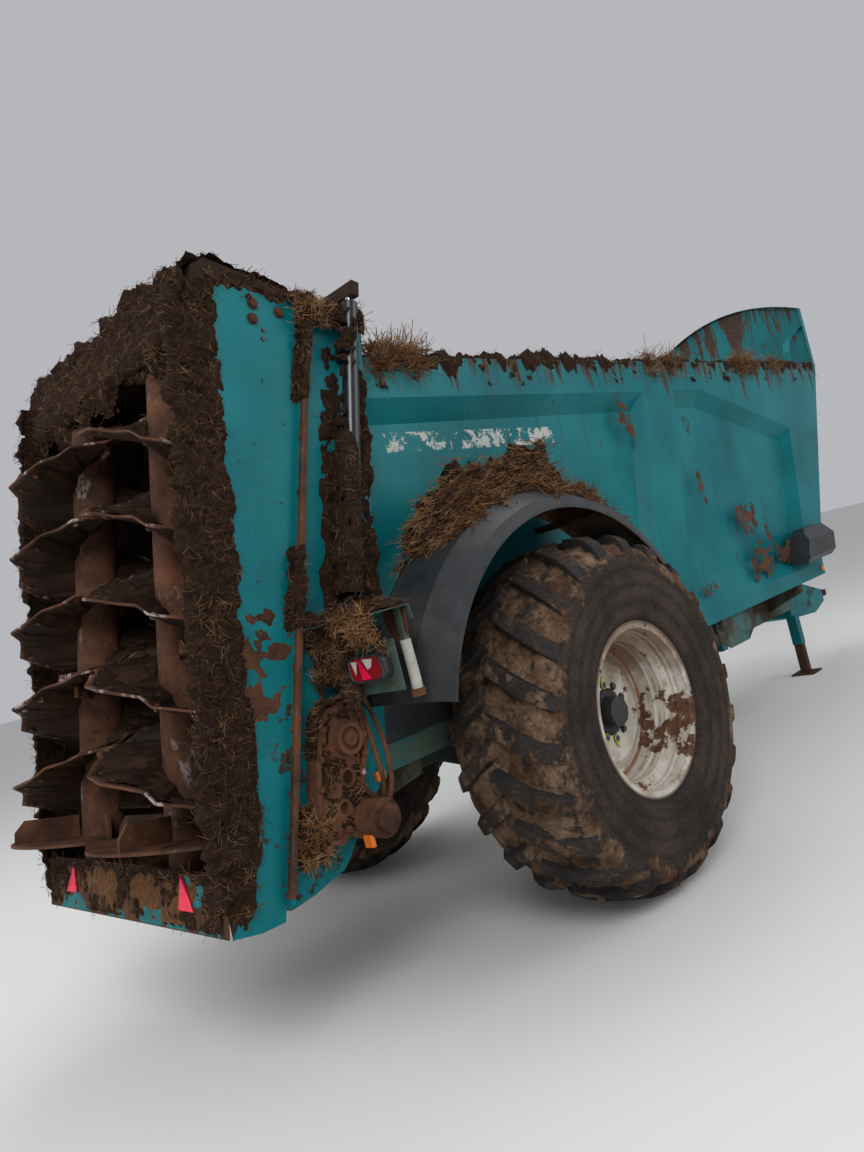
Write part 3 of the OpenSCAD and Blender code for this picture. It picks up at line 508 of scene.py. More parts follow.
def scatterStraw(name, spots, count, length, radius, lift, body="root", material="straw"):
    verts, faces = [], []
    for _ in range(count):
        p, n = spots[rnd.randrange(len(spots))]
        side = Vector((rnd.gauss(0, 1), rnd.gauss(0, 1), rnd.gauss(0, 0.8)))
        side -= n * side.dot(n)
        if side.length < 1e-4:
            continue
        way = (side.normalized() + n * rnd.uniform(-0.05, lift)).normalized()
        long = rnd.uniform(*length)
        bend = Vector((rnd.uniform(-1, 1), rnd.uniform(-1, 1), rnd.uniform(-1.2, 0.3))) * long * 0.12
        start = p - way * long * 0.25 + n * 0.001
        r = radius * rnd.uniform(0.6, 1.4)
        across = way.cross(Vector((0.3, 0.5, 0.8))).normalized()
        other = way.cross(across)
        base = len(verts)
        for q in (start, start + way * long * 0.5 + bend, start + way * long):
            for k in range(3):
                a = 2.094 * k
                verts.append(q + (across * math.cos(a) + other * math.sin(a)) * r)
        faces += loopFaces(3, 3, 1, base)
    return addPiece(name, verts, faces, material, body, False)


def loopFaces(rows, count, side=1, first=0):  # four-sided faces between closed rings of corners
    faces = []
    for j in range(rows - 1):
        a, b = first + j * count, first + (j + 1) * count
        for k in range(count):
            m = (k + 1) % count
            quad = (a + k, a + m, b + m, b + k)
            faces.append(quad if side > 0 else quad[::-1])
    return faces


# a bolt's rings, as shares of its size: corners, radius, height
boltRings = ((12, 1.25, -0.05), (12, 1.25, 0.16), (6, 1.0, 0.16), (6, 1.0, 0.75), (6, 0.82, 0.86))


def addBolts(name, spots, size, material, body="root"):
    # spots are (place, way out); each gets a washer and a six-sided head
    verts, faces = [], []
    for p, n in spots:
        n = n.normalized()
        a = n.cross(Vector((0.31, 0.52, 0.79))).normalized()
        b = n.cross(a)
        turn = rnd.uniform(0, 1)
        for count, wide, high in boltRings:
            first = len(verts)
            for k in range(count):
                angle = turn + 2 * math.pi * k / count
                out = a * math.cos(angle) + b * math.sin(angle)
                verts.append(p + out * size * wide + n * size * high)
            if (count, high) == (12, 0.16) or high in (0.75, 0.86):
                faces += loopFaces(2, count, 1, first - count)
            if (count, high) == (12, 0.16) or high == 0.86:
                faces.append(tuple(first + k for k in range(count)))
    return addPiece(name, verts, faces, material, body, False)


def flatPiece(name, corners, depth, material, body="root", way=(0, -1, 0)):
    # a bevelled slab from its outline
    n = len(corners)
    corners = [Vector(c) for c in corners]
    middle = sum(corners, Vector()) / n
    way = Vector(way)
    verts = corners + [c + way * depth * 0.6 for c in corners]
    verts += [c.lerp(middle, 0.06) + way * depth for c in corners]
    faces = [tuple(range(n))[::-1], tuple(range(2 * n, 3 * n))] + loopFaces(3, n)
    return addPiece(name, verts, faces, material, body, False)


def tubeAlong(name, points, radius, material, body="root", count=12):  # a rigid pipe through points
    points = [Vector(q) for q in points]
    smooth = []
    for k in range(len(points) - 1):
        a, b = points[k], points[k + 1]
        before = points[k - 1] if k else a
        after = points[k + 2] if k + 2 < len(points) else b
        for t in (0, 0.25, 0.5, 0.75):
            smooth.append(0.5 * ((2 * a) + (b - before) * t + (2 * before - 5 * a + 4 * b - after) * t * t
                                 + (3 * a - before - 3 * b + after) * t ** 3))
    smooth.append(points[-1])
    verts = []
    for k, q in enumerate(smooth):
        way = (smooth[min(k + 1, len(smooth) - 1)] - smooth[max(k - 1, 0)]).normalized()
        a = way.cross(Vector((0.2, 0.9, 0.3))).normalized()
        b = way.cross(a)
        for m in range(count):
            angle = 2 * math.pi * m / count
            verts.append(q + (a * math.cos(angle) + b * math.sin(angle)) * radius)
    faces = loopFaces(len(smooth), count)
    faces += [tuple(range(count))[::-1], tuple(range(len(verts) - count, len(verts)))]
    return addPiece(name, verts, faces, material, body)


def along(path, share):  # a place at a share of a path's length, and the way the path runs there
    lengths = [(Vector(b) - Vector(a)).length for a, b in zip(path, path[1:])]
    left = share * sum(lengths)
    for (a, b), step in zip(zip(path, path[1:]), lengths):
        if left <= step or b is path[-1]:
            return Vector(a).lerp(Vector(b), min(1, left / step)), (Vector(b) - Vector(a)).normalized()
        left -= step


# fine tyres over the CAD's
# tread rows: distance from the middle, drop below the crown, share of the lug's height, turn in degrees
# wall rows: distance from the middle, radius, share of the lug's end
tyreSet = {"radius": 0.905, "lug": 0.055, "count": 22,
           "tread": ((0.000, 0.000, 1.0, -0.3), (0.008, 0.000, 1.0, 0.0), (0.1935, 0.018, 0.93, 7.6),
                     (0.2709, 0.058, 0.8, 10.6), (0.3065, 0.104, 0.6, 11.9)),
           "across": (0.0, 0.005, 0.010, 0.016, 0.030, 0.060, 0.090, 0.120, 0.150, 0.180, 0.205, 0.228,
                      0.250, 0.268, 0.284, 0.296, 0.3035, 0.3065),
           "round": (0.0, 0.02, 0.032, 0.045, 0.058, 0.070, 0.09, 0.14, 0.20, 0.26, 0.31, 0.345, 0.370,
                     0.384, 0.400, 0.416, 0.430, 0.46),
           "wall": ((0.3100, 0.757, 0.75), (0.3135, 0.741, 0.50), (0.3168, 0.724, 0.25),
                    (0.3195, 0.704, 0.0), (0.3212, 0.680, 0.0), (0.3222, 0.650, 0.0),
                    (0.3225, 0.615, 0.0), (0.3219, 0.588, 0.0), (0.3200, 0.566, 0.0),
                    (0.3176, 0.549, 0.0), (0.3150, 0.545, 0.0), (0.3138, 0.538, 0.0),
                    (0.3095, 0.520, 0.0), (0.3040, 0.502, 0.0), (0.2985, 0.486, 0.0),
                    (0.2990, 0.477, 0.0), (0.2962, 0.466, 0.0), (0.2890, 0.452, 0.0),
                    (0.2812, 0.4345, 0.0), (0.2700, 0.4330, 0.0), (0.2637, 0.4120, 0.0))}


def treadRow(across):
    rows = tyreSet["tread"]
    for low, high in zip(rows, rows[1:]):
        if across <= high[0]:
            t = (across - low[0]) / (high[0] - low[0])
            return [a + (b - a) * t for a, b in zip(low[1:], high[1:])]
    return rows[-1][1:]


def fineTyre(node, side, body):  # the grid runs along the lugs, half a pitch apart on the two sides
    shares = tyreSet["round"] + tuple(u + 0.5 for u in tyreSet["round"])
    count = tyreSet["count"] * len(shares)
    pitch = 2 * math.pi / tyreSet["count"]
    half = [(a, None) for a in tyreSet["across"]] + [(a, (r, k)) for a, r, k in tyreSet["wall"]]
    rows = [(-1, a, w) for a, w in reversed(half[1:])] + [(1, a, w) for a, w in half]
    verts, marks = [], []
    for way, across, wall in rows:
        drop, share, turn = treadRow(min(across, 0.3065))
        shift = 0.0 if way > 0 else 0.5
        flank = wall and across > 0.2815
        for k in range(count):
            u = shares[k % len(shares)]
            inPitch = (u + shift) % 1.0 if across > 0 else 0.7
            rise = soft(min((inPitch - 0.02) / 0.05, (0.43 - inPitch) / 0.06))
            angle = (k // len(shares) + u) * pitch + math.radians(turn)
            flat = Vector((way * across, math.cos(angle), math.sin(angle)))
            lift = rise * wall[1] if wall else rise
            if wall:
                radius = wall[0] + 0.033 * lift
            else:
                radius = tyreSet["radius"] - drop - tyreSet["lug"] * share * (1 - rise)
            spot = Vector((flat.x * 2.0, flat.y * radius, flat.z * radius))
            rough = noise.fractal(spot * 8, 0.9, 2.1, 5)
            fine = noise.fractal(spot * 30, 0.9, 2.1, 4)
            if flank:
                radius += 0.0015 * rough
            elif not wall:
                radius += (1 - lift) * 0.011 * max(0, rough + 0.25) - lift * 0.004 * max(0, fine) - 0.001
            soil = 0.60 - 0.22 * lift + 0.34 * rough - 0.40 * (4 * lift * (1 - lift))
            if wall:
                soil = 0.58 * soft((wall[0] - 0.63) / 0.13) - 0.08 + 0.40 * rough
            ring = 1.0 if not wall or wall[0] > 0.735 else 0.0
            bulge = 0.0012 * fine + 0.005 * lift if flank else 0
            x = wheelX * side + side * way * (across + bulge)
            verts.append((x, axleY + flat.y * radius, axleZ + flat.z * radius))
            marks.append((min(1, max(0, soil)), lift, ring, 1))
    piece = addPiece(node + "_fine", verts, loopFaces(len(rows), count, side), "tread", body)
    wear = piece.data.color_attributes.new("wear", "FLOAT_COLOR", "POINT")
    wear.data.foreach_set("color", [c for mark in marks for c in mark])
    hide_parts(node)


for side, name in sides:
    fineTyre("tyre_" + name, side, "wheel_" + name)
print("tyres are drawn")

# caked manure on the rear frame; lip rows: place along the machine, height, width of the lip
lipSet = {"edge": [(-2.090, 0.680, 0.012), (-2.010, 0.772, 0.083), (-1.940, 0.914, 0.157),
                   (-1.880, 1.162, 0.185), (-1.541, 3.000, 0.185), (-1.505, 3.190, 0.160)],
          "slant": 0.17, "outer": 0.030, "inner": 0.004, "rows": 200, "columns": 40}


def lipEdge(v):
    edge = lipSet["edge"]
    z = 0.70 + v * (3.19 - 0.70)
    for (ya, za, la), (yb, zb, lb) in zip(edge, edge[1:]):
        if z <= zb:
            t = (z - za) / (zb - za)
            return ya + (yb - ya) * t, z, la + (lb - la) * t
    return edge[-1]


def cakeLip(side):
    slant = lipSet["slant"]

    def spot(u, v):
        y, z, wide = lipEdge(v)
        if u < 0.62:  # the outer face
            back = -0.035 + (wide + 0.035) * u / 0.62
            x = 0.840 - slant * max(back, 0)
            out = Vector((1, -0.17, 0)) if back > 0 else Vector((1, 0, 0))
        elif u < 0.72:  # round the rear edge
            t = (u - 0.62) / 0.10
            back = wide + 0.001
            x = 0.840 - slant * back - 0.008 * t
            out = Vector((math.cos(math.pi * t), -max(0.25, math.sin(math.pi * t)), 0))
        else:
            back = wide * (1 - (u - 0.72) / 0.28)
            x = 0.832 - slant * back
            out = Vector((-1, 0, 0))
        return place(x, y - back, z), out.normalized()

    def thick(u, v, p):
        rough = crumbs(p, 11, 0.5, 34)
        if u > 0.72:
            return lipSet["inner"] * (0.6 + rough)
        edge = min(1.0, u / 0.12)
        body = lipSet["outer"] * (0.75 + 1.1 * rough) * (0.35 + 0.65 * edge)
        ragged = 0.020 * (1 - edge) * (1 + 1.5 * clods(p, 6))
        fade = 0.03 * max(0, 1 - v / 0.05)
        return body - ragged - fade

    return sidePatch("lip_manure", side, spot, lipSet["columns"], lipSet["rows"], thick)


for side, name in sides:
    scatterStraw("lip_straw_" + name, cakeLip(side), 1700, (0.02, 0.07), 0.0010, 0.5)

beamSet = {"path": [(-1.630, 2.985), (-1.648, 3.030), (-1.566, 3.262), (-1.492, 3.300), (-1.200, 3.215),
                    (-1.062, 3.166)], "thick": 0.050}


def cakeBeam():
    def spot(u, v):
        (y, z), (dy, dz) = along(beamSet["path"], u)
        return place(-0.838 + 1.676 * v, y, z), Vector((0, -dz, dy)).normalized()

    def thick(u, v, p):
        rough = crumbs(p, 7, 0.55, 22, 4)
        crest = 0.5 + 0.8 * bell(u, 0.42, 0.18)
        return beamSet["thick"] * crest * (0.62 + 0.9 * rough) - (0.03 if u > 0.9 and rough < 0 else 0)

    return dirtPatch("beam_manure", spot, 66, 130, thick)


def cakeDrips():  # clods that hang from the beam's lower rear edge
    def spot(u, v):
        return place(-0.80 + 1.60 * v, -1.632 + 0.018 * math.sin(9 * v), 3.030 - 0.16 * u), \
            Vector((0, -1, 0.05)).normalized()

    def thick(u, v, p):
        reach = 0.55 + 0.9 * clods(Vector((p.x, 0, 0)), 7, 4)
        return 0.032 * (0.8 + clods(p, 18)) * min(1, max(-0.2, (reach - u) * 3))

    return dirtPatch("beam_clods", spot, 16, 130, thick)


scatterStraw("beam_straw", cakeBeam(), 1800, (0.03, 0.09), 0.0012, 0.55)
scatterStraw("clod_straw", cakeDrips(), 500, (0.03, 0.09), 0.0012, 0.5)
print("rear frame is caked")

# manure on the post, the console and the inside of the frame
postSet = {"clean": 0.30, "thick": 0.060, "foot": (-1.859, 0.707), "lean": 18.99,
           "front": [(-1.400, 0.90), (-1.214, 1.0), (-0.730, 2.905), (-0.70, 3.01)]}


def flangeY(z):
    return postSet["foot"][0] + (z - postSet["foot"][1]) * math.tan(math.radians(postSet["lean"]))


def postFront(z):
    rows = postSet["front"]
    for (ya, za), (yb, zb) in zip(rows, rows[1:]):
        if z <= zb:
            return ya + (yb - ya) * max(0, (z - za) / (zb - za))
    return rows[-1][0]


def cakePost(side):
    def spot(u, v):
        z = 1.02 + 2.0 * v
        y0, y1 = flangeY(z) + 0.03, postFront(z) - 0.01
        return place(0.832, y0 + (y1 - y0) * u, z), Vector((1, 0, 0))

    def thick(u, v, p):
        rough = crumbs(p, 9, 0.5, 27)
        start = postSet["clean"] + 0.16 * clods(p, 3.5, 4)
        swing = 0.12 * clods(p, 5)
        column = min(1.0, (u - start) * 7, (v - 0.34 + swing) * 9, (0.87 + swing - v) * 8)
        return postSet["thick"] * (0.45 + 0.75 * rough) * column if column > 0 else 0.02 * column

    return sidePatch("post_manure", side, spot, 34, 150, thick)


def cakeInside(side):
    def spot(u, v):
        z = 0.86 + 2.20 * v
        y0, y1 = lipEdge((z - 0.70) / 2.49)[0] + 0.01, flangeY(z) - 0.005
        return place(0.832, y0 + (y1 - y0) * u, z), Vector((-1, 0, 0))

    def thick(u, v, p):
        return 0.0045 * (0.9 + 0.8 * clods(p, 16))

    return sidePatch("inner_manure", side, spot, 40, 170, thick)


def cakeConsole(side):
    def spot(u, v):
        return place(0.845 + 0.45 * u, -1.505 + 0.215 * v, 1.705), Vector((0, 0, 1))

    def thick(u, v, p):
        rough = crumbs(p, 10, 0.4, 30)
        rim = min(1, 8 * min(u + 0.1, 1 - u + 0.02, v + 0.02, 1 - v + 0.04))
        return 0.055 * (0.55 + 0.8 * rough - 0.35 * u) * rim

    return sidePatch("console_manure", side, spot, 40, 24, thick)


for stem, cake, row in (("post", cakePost, (500, (0.02, 0.07), 0.0011, 0.4)),
                        ("inner", cakeInside, (700, (0.02, 0.07), 0.001, 0.06)),
                        ("console", cakeConsole, (420, (0.03, 0.10), 0.0013, 0.5))):
    for side, name in sides:
        scatterStraw(stem + "_straw_" + name, cake(side), *row)
print("posts and consoles are caked")

# dirt along the body's top edge and straw on the mudguards
edgeSet = {"tufts": (-0.62, -0.56, -0.50, -0.44, -0.38, -0.30, 3.55, 3.68, 3.80, 2.42, 2.10, 4.30),
           "rear": (-0.72, 2.905), "front": (5.38, 2.935)}


def cakeEdge(side):
    (rearY, rearZ), (frontY, frontZ) = edgeSet["rear"], edgeSet["front"]

    def spot(u, v):
        y = rearY + (frontY - rearY) * v
        z = rearZ + (frontZ - rearZ) * v
        if u < 0.25:
            return place(0.6945, y, z - 0.07 * (1 - u / 0.25)), Vector((-1, 0, 0.15)).normalized()
        if u < 0.55:
            return place(0.695 + 0.085 * (u - 0.25) / 0.30, y, z), Vector((0, 0, 1))
        return place(0.7803, y, z - 0.16 * (u - 0.55) / 0.45), Vector((1, 0, 0.1)).normalized()

    def thick(u, v, p):
        there = noise.fractal(Vector((p.y * 1.7, side * 3.1, 0)), 1.0, 2.0, 4)
        rough = crumbs(p, 12, 0.4, 33)
        if u > 0.55:
            down = (u - 0.55) / 0.45
            reach = 0.18 + 0.75 * noise.fractal(Vector((p.y * 7, side, 1)), 0.8, 2.0, 4) + 0.3 * there
            return 0.016 * (0.6 + rough) * min(1, (reach - down) * 4)
        y = p.y - axleY
        heap = 0.45 * bell(y, 0.75, 0.55) + 0.35 * bell(y, 2.5, 0.30)
        high = 0.030 * (0.45 + rough) + 0.022 * there + 0.06 * heap * (0.6 + rough)
        return high * (0.4 if u < 0.2 else 1)

    return sidePatch("edge_manure", side, spot, 22, 420, thick)


for side, name in sides:
    scatterStraw("edge_straw_" + name, cakeEdge(side), 900, (0.03, 0.10), 0.0012, 0.5)
    tufts = []
    for at in edgeSet["tufts"]:
        for _ in range(70):
            x, y = side * (0.762 + rnd.gauss(0, 0.018)), at + rnd.gauss(0, 0.055)
            p = place(x, y, 2.93 + rnd.uniform(-0.10, 0.05))
            way = Vector((side * rnd.uniform(0.3, 0.9), rnd.uniform(-0.6, 0.6), rnd.uniform(-0.9, 0.7)))
            tufts.append((p, way.normalized()))
    scatterStraw("edge_tufts_" + name, tufts, 2100, (0.06, 0.20), 0.0017, 0.5, "root", "hay")

# the mudguard's arc, and its section as distance from the middle and radius
guardSet = {"y": -0.150, "z": 0.900, "from": 26, "to": 138, "high": 0.33,
            "path": [(0.800, 1.186), (0.846, 1.192), (0.904, 1.200), (1.150, 1.180), (1.270, 1.120),
                     (1.290, 1.075)]}


def cakeGuard(side):
    def spot(u, v):
        a = math.radians(guardSet["from"] + (guardSet["to"] - guardSet["from"]) * v)
        (x, r), (dx, dr) = along(guardSet["path"], u)
        return (place(x, guardSet["y"] + r * math.cos(a), guardSet["z"] + r * math.sin(a)),
                Vector((-dr, dx * math.cos(a), dx * math.sin(a))).normalized())

    def thick(u, v, p):
        rough = crumbs(p, 6, 0.5, 19, 4)
        mound = bell(v, 0.52, 0.29) * bell(u, 0.20, 0.40)
        return guardSet["high"] * (mound * (0.80 + 0.5 * rough) - 0.13 + 0.14 * rough * bell(v, 0.50, 0.4))

    return sidePatch("guard_heap", side, spot, 34, 110, thick, "root", "dry")


for side, name in sides:
    scatterStraw("guard_straw_" + name, cakeGuard(side), 3800, (0.04, 0.15), 0.0016, 0.45, "root", "hay")
print("body edge and mudguards carry straw")

# rust and lumps on the bolted flange, the panel's top edge and the post's head
flangeSet = {"outer": 0.8865, "crust": 0.0022, "lump": 0.030, "low": 0.73, "high": 3.10}


def cakeFlange(side):
    def spot(u, v):
        z = flangeSet["low"] + (flangeSet["high"] - flangeSet["low"]) * v
        y = flangeY(z)
        if u < 0.30:
            return place(0.8402, y - 0.055 + 0.043 * u / 0.30, z), Vector((1, 0, 0))
        if u < 0.70:
            return place(0.841 + 0.045 * (u - 0.30) / 0.40, y - 0.0108, z), Vector((0, -0.945, 0.326))
        return place(flangeSet["outer"], y - 0.0105 + 0.022 * (u - 0.70) / 0.30, z), Vector((1, 0, 0))

    def crust(u, v, p):
        return -0.001 if u < 0.44 else flangeSet["crust"] * (0.85 + clods(p, 22))

    def lump(u, v, p):
        wide = noise.fractal(Vector((p.z * 2.3, side * 5, 0.4)), 0.9, 2.0, 5)
        upper = 0.55 * soft((v - 0.76) / 0.10)
        low = 0.18 * bell(v, 0.36, 0.06) + 0.22 * bell(v, 0.20, 0.04)
        there = wide - 0.16 + upper + low - (0.10 if u < 0.12 else 0)
        return flangeSet["lump"] * min(1.0, 2.2 * there) * (0.7 + 0.8 * clods(p, 24, 4))

    sidePatch("flange_rust", side, spot, 12, 260, crust, "root", "crust")
    return sidePatch("flange_manure", side, spot, 16, 320, lump)


ridgeSet = {"path": [(-1.505, 3.190), (-1.480, 3.210), (-1.250, 3.178), (-1.020, 3.145)], "lump": 0.050}


def cakeRidge(side):
    def spot(u, v):
        y, z = along(ridgeSet["path"], v)[0]
        if u < 0.40:
            return place(0.8403, y, z - 0.060 + 0.058 * u / 0.40), Vector((1, 0, 0.15)).normalized()
        if u < 0.65:
            return place(0.8403 - 0.015 * (u - 0.40) / 0.25, y, z), Vector((0, 0, 1))
        return place(0.8245, y, z - 0.05 * (u - 0.65) / 0.35), Vector((-1, 0, 0))

    def thick(u, v, p):
        rough = crumbs(p, 13, 0.5, 31)
        if u > 0.65:
            return 0.010 * (0.6 + rough)
        if u < 0.40:
            reach = 0.42 + 0.9 * clods(Vector((0, p.y, 0)), 9, 4)
            return 0.020 * (0.7 + rough) * min(1, 3 * (u / 0.40 - 1 + reach))
        return ridgeSet["lump"] * (0.62 + 0.8 * rough)

    return sidePatch("ridge_manure", side, spot, 22, 110, thick)


headSet = {"x": (0.828, 0.915), "y": (-1.120, -0.720), "z": 3.088, "high": 0.075}
barrelSet = {"axis": ((0.905, -0.838, 3.060), (0.905, -1.236, 1.790)), "radius": 0.051, "thick": 0.030,
             "rod": 0.09}


def cakeHead(side):  # the clump on the post's head, which hangs down a little outside
    (x0, x1), (rear, front) = headSet["x"], headSet["y"]

    def spot(u, v):
        y = rear + (front - rear) * v
        z = headSet["z"] + 0.04 * (1 - v)
        if u < 0.5:
            return place(x1 - 0.045 + 0.03 * u, y, z - 0.11 + 0.22 * u), Vector((1, -0.2, 0.2)).normalized()
        return place(x1 - 0.03 - (x1 - 0.03 - x0) * (u - 0.5) / 0.5, y, z), Vector((0, 0, 1))

    def thick(u, v, p):
        rough = crumbs(p, 8, 0.5, 25, 4)
        rim = min(1.0, 7 * min(v + 0.03, 1.03 - v, u + 0.02))
        return headSet["high"] * (0.45 + 0.75 * rough) * rim

    return sidePatch("head_manure", side, spot, 34, 60, thick)


def fromRod(p):  # distance from the lift cylinder's rod
    return math.hypot(abs(p.x) - 0.905, (p.y - axleY + 0.838 - (p.z - 3.06) / 3.19))


for side, name in sides:
    scatterStraw("flange_straw_" + name, cakeFlange(side), 420, (0.015, 0.06), 0.0010, 0.4)
    scatterStraw("ridge_straw_" + name, cakeRidge(side), 420, (0.02, 0.08), 0.0012, 0.5)
    clear = [q for q in cakeHead(side) if fromRod(q[0]) > barrelSet["rod"]]
    scatterStraw("head_straw_" + name, clear, 520, (0.03, 0.08), 0.0013, 0.4, "root", "hay")
print("flanges and panel tops are caked")


# manure round the lift cylinders
def cakeBarrel(side):
    top, foot = [Vector(q) for q in barrelSet["axis"]]
    across = Vector((1, 0, 0))
    rear = (foot - top).normalized().cross(across)
    if rear.y > 0:
        rear = -rear

    def spot(u, v):
        a = math.radians(-35 + 250 * u)
        out = across * math.cos(a) + rear * math.sin(a)
        return place(*(top.lerp(foot, v) + out * barrelSet["radius"])), out

    def thick(u, v, p):
        rough = crumbs(p, 9, 0.5, 30)
        there = min(1.0, (v - 0.47 + 0.20 * clods(p, 4, 4)) * 6) * min(1.0, 5 * min(u, 1 - u) + 0.1)
        return barrelSet["thick"] * there * (0.5 + 0.9 * rough)

    return sidePatch("barrel_manure", side, spot, 30, 120, thick)


for side, name in sides:
    scatterStraw("barrel_straw_" + name, cakeBarrel(side), 260, (0.02, 0.07), 0.0011, 0.4)
print("lift cylinders are caked")

# dirt beside the lamp, and the lamp's own face
lampSet = {"y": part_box("rear_lamps")[0][1], "x": 1.120, "z": 1.490, "half": (0.105, 0.055), "corners": 48,
           "marks": {"white": (0.003, "white", ((-0.086, 0.036), (-0.048, 0.034), (-0.070, -0.020))),
                     "pale": (0.003, "white", ((-0.016, 0.040), (0.046, 0.036), (0.030, 0.004),
                                               (0.006, -0.004))),
                     "bright": (0.005, "pink", ((-0.040, 0.042), (0.018, -0.042), (-0.036, -0.044)))}}


def cakeBoard(side):
    def spot(u, v):
        return place(0.846 + 0.175 * u, -1.384 - 0.09 * soft(1 - u * 1.6), 1.372 + 0.318 * v), \
            Vector((0.25, -1, 0.05)).normalized()

    def thick(u, v, p):
        rough = crumbs(p, 8, 0.5, 26, 4)
        free = 2.4 * math.exp(-((u - 0.35) / 0.30) ** 2 - ((v - 0.16) / 0.11) ** 2)
        return 0.050 * (0.50 + 0.8 * rough - free) * min(1.0, 8 * min(u + 0.05, 1.02 - u))

    return sidePatch("board_manure", side, spot, 34, 54, thick)


def lampFace(side, name):
    count = lampSet["corners"]
    wide, high = lampSet["half"]

    def at(x, z):
        return Vector((side * (lampSet["x"] + x), lampSet["y"] - 0.0005, lampSet["z"] + z))

    ring, inner = [], []
    for k in range(count):
        a = 2 * math.pi * k / count
        c, d = math.cos(a), math.sin(a)
        x = math.copysign(min(wide, abs(c) ** 0.45 * wide), c) - 0.004
        z = math.copysign(min(high, abs(d) ** 0.45 * high), d)
        ring.append(at(x, z))
        inner.append(at(x * 0.90, z * 0.84))
    lift = Vector((0, -0.006, 0))
    verts = ring + [q + lift for q in ring] + [q + lift for q in inner] + inner
    addPiece("lamp_rim_" + name, verts, loopFaces(4, count), "lensDark")
    flatPiece("lamp_lens_" + name, inner, 0.002, "lens")
    for stem, (depth, colour, outline) in lampSet["marks"].items():
        flatPiece("lamp_%s_%s" % (stem, name), [at(*q) for q in outline], depth, colour)


for side, name in sides:
    scatterStraw("board_straw_" + name, cakeBoard(side), 700, (0.02, 0.09), 0.0012, 0.5)
    lampFace(side, name)
print("lamps are drawn")

# apron: yellow dirt, lumps on its upper edge, reflectors
apronSet = {"face": -0.0965, "top": -0.095, "reflector": 0.545}


def onApron(x, down, out=0.0):  # down along the apron from its upper edge's height
    y, z = apronSet["face"] - out, apronSet["top"] - down
    return place(x, beaterSet["y"] + y * leanCos + z * leanSin, beaterSet["z"] - y * leanSin + z * leanCos)


apronOut = (onApron(0, 0, 1) - onApron(0, 0, 0)).normalized()


def apronPatch(name, x, down, nu, nv, thick, material="manure"):  # x and down: start and reach
    def spot(u, v):
        return onApron(x[0] + x[1] * u, down[0] + down[1] * v), apronOut

    return dirtPatch(name, spot, nu, nv, thick, "root", material)


def apronLumps(u, v, p):
    upper = 1.1 * max(0, 1 - v / 0.22) + 0.55 * max(0, abs(u - 0.5) - 0.36) / 0.14
    return 0.020 * (0.9 * crumbs(p, 9, 0.5, 30, 4) + upper - 0.08)


def apronClay(u, v, p):
    middle = 0.30 * bell(v, 0.35, 0.35) + 0.25 * bell(u, 0.72, 0.22)
    return 0.006 * (clods(p, 5, 5) + middle - 0.12)


def apronPaint(u, v, p):
    outer = 0.5 * abs(u - 0.5) + 0.42 * max(0, v - 0.45)
    return 0.0016 * min(1.0, 8 * (clods(p, 6, 5) + outer - 0.42))


apronSpots = apronPatch("apron_manure", (-0.80, 1.60), (0, 0.215), 150, 30, apronLumps)
apronPatch("apron_clay", (-0.62, 1.36), (0.015, 0.19), 120, 26, apronClay, "clay")
apronPatch("apron_paint", (-0.78, 1.56), (0.02, 0.205), 150, 30, apronPaint, "tealChip")
scatterStraw("apron_straw", apronSpots, 520, (0.02, 0.08), 0.0011, 0.4)
for side, name in sides:
    x = apronSet["reflector"] * side
    corners = [onApron(x - 0.030 * side, 0.018, 0.006), onApron(x - 0.055 * side, 0.150, 0.006),
               onApron(x + 0.055 * side, 0.150, 0.006)]
    flatPiece("apron_reflector_" + name, corners, 0.008, "pink", "root", apronOut)
print("apron is dirty")

# bolts on the panels, the flanges and the gear case
boltSet = {"panel": [(-1.308, 3.107), (-1.328, 3.039), (-1.179, 3.074)],
           "hole": [(-1.284, 2.992), (-1.297, 2.951)],
           "case": [(-1.525, 1.335), (-1.466, 1.350), (-1.397, 1.350), (-1.349, 1.300), (-1.349, 1.215),
                    (-1.366, 1.140), (-1.402, 1.070), (-1.372, 0.955), (-1.362, 0.885), (-1.440, 0.822),
                    (-1.540, 0.878), (-1.640, 0.890), (-1.648, 0.965), (-1.622, 1.070), (-1.588, 1.180),
                    (-1.548, 1.290)]}


def facing(side, x, rows):
    return [(place(side * x, y, z), Vector((side, 0, 0))) for y, z in rows]


for side, name in sides:
    addBolts("panel_bolts_" + name, facing(side, 0.8405, boltSet["panel"]), 0.021, "crust")
    addBolts("panel_plugs_" + name, facing(side, 0.8405, boltSet["hole"]), 0.009, "lensDark")
    heights = [0.86 + 0.235 * k for k in range(10)]
    rows = [(place(side * 0.866, flangeY(z) - 0.0105, z), Vector((0, -0.945, 0.326))) for z in heights]
    addBolts("flange_bolts_" + name, rows, 0.011, "crust")
addBolts("case_bolts", facing(1, 0.903, boltSet["case"]), 0.0135, "edge")


def beaterPlace(side, turn, reach, high):  # turn about the beater's axis from its rear, reach from the axis
    a = math.radians(turn)
    x, y = math.sin(a) * reach, -math.cos(a) * reach
    return place(side * (beaterSet["x"] + x), beaterSet["y"] + y * leanCos + high * leanSin,
                 beaterSet["z"] - y * leanSin + high * leanCos)


# short breaker bars welded to the tubes: turn and height of each
lugSet = {"rows": ((-84, 1.815), (-40, 0.640), (62, 0.730)), "inner": 0.094, "outer": 0.235, "high": 0.058,
          "thick": 0.022}


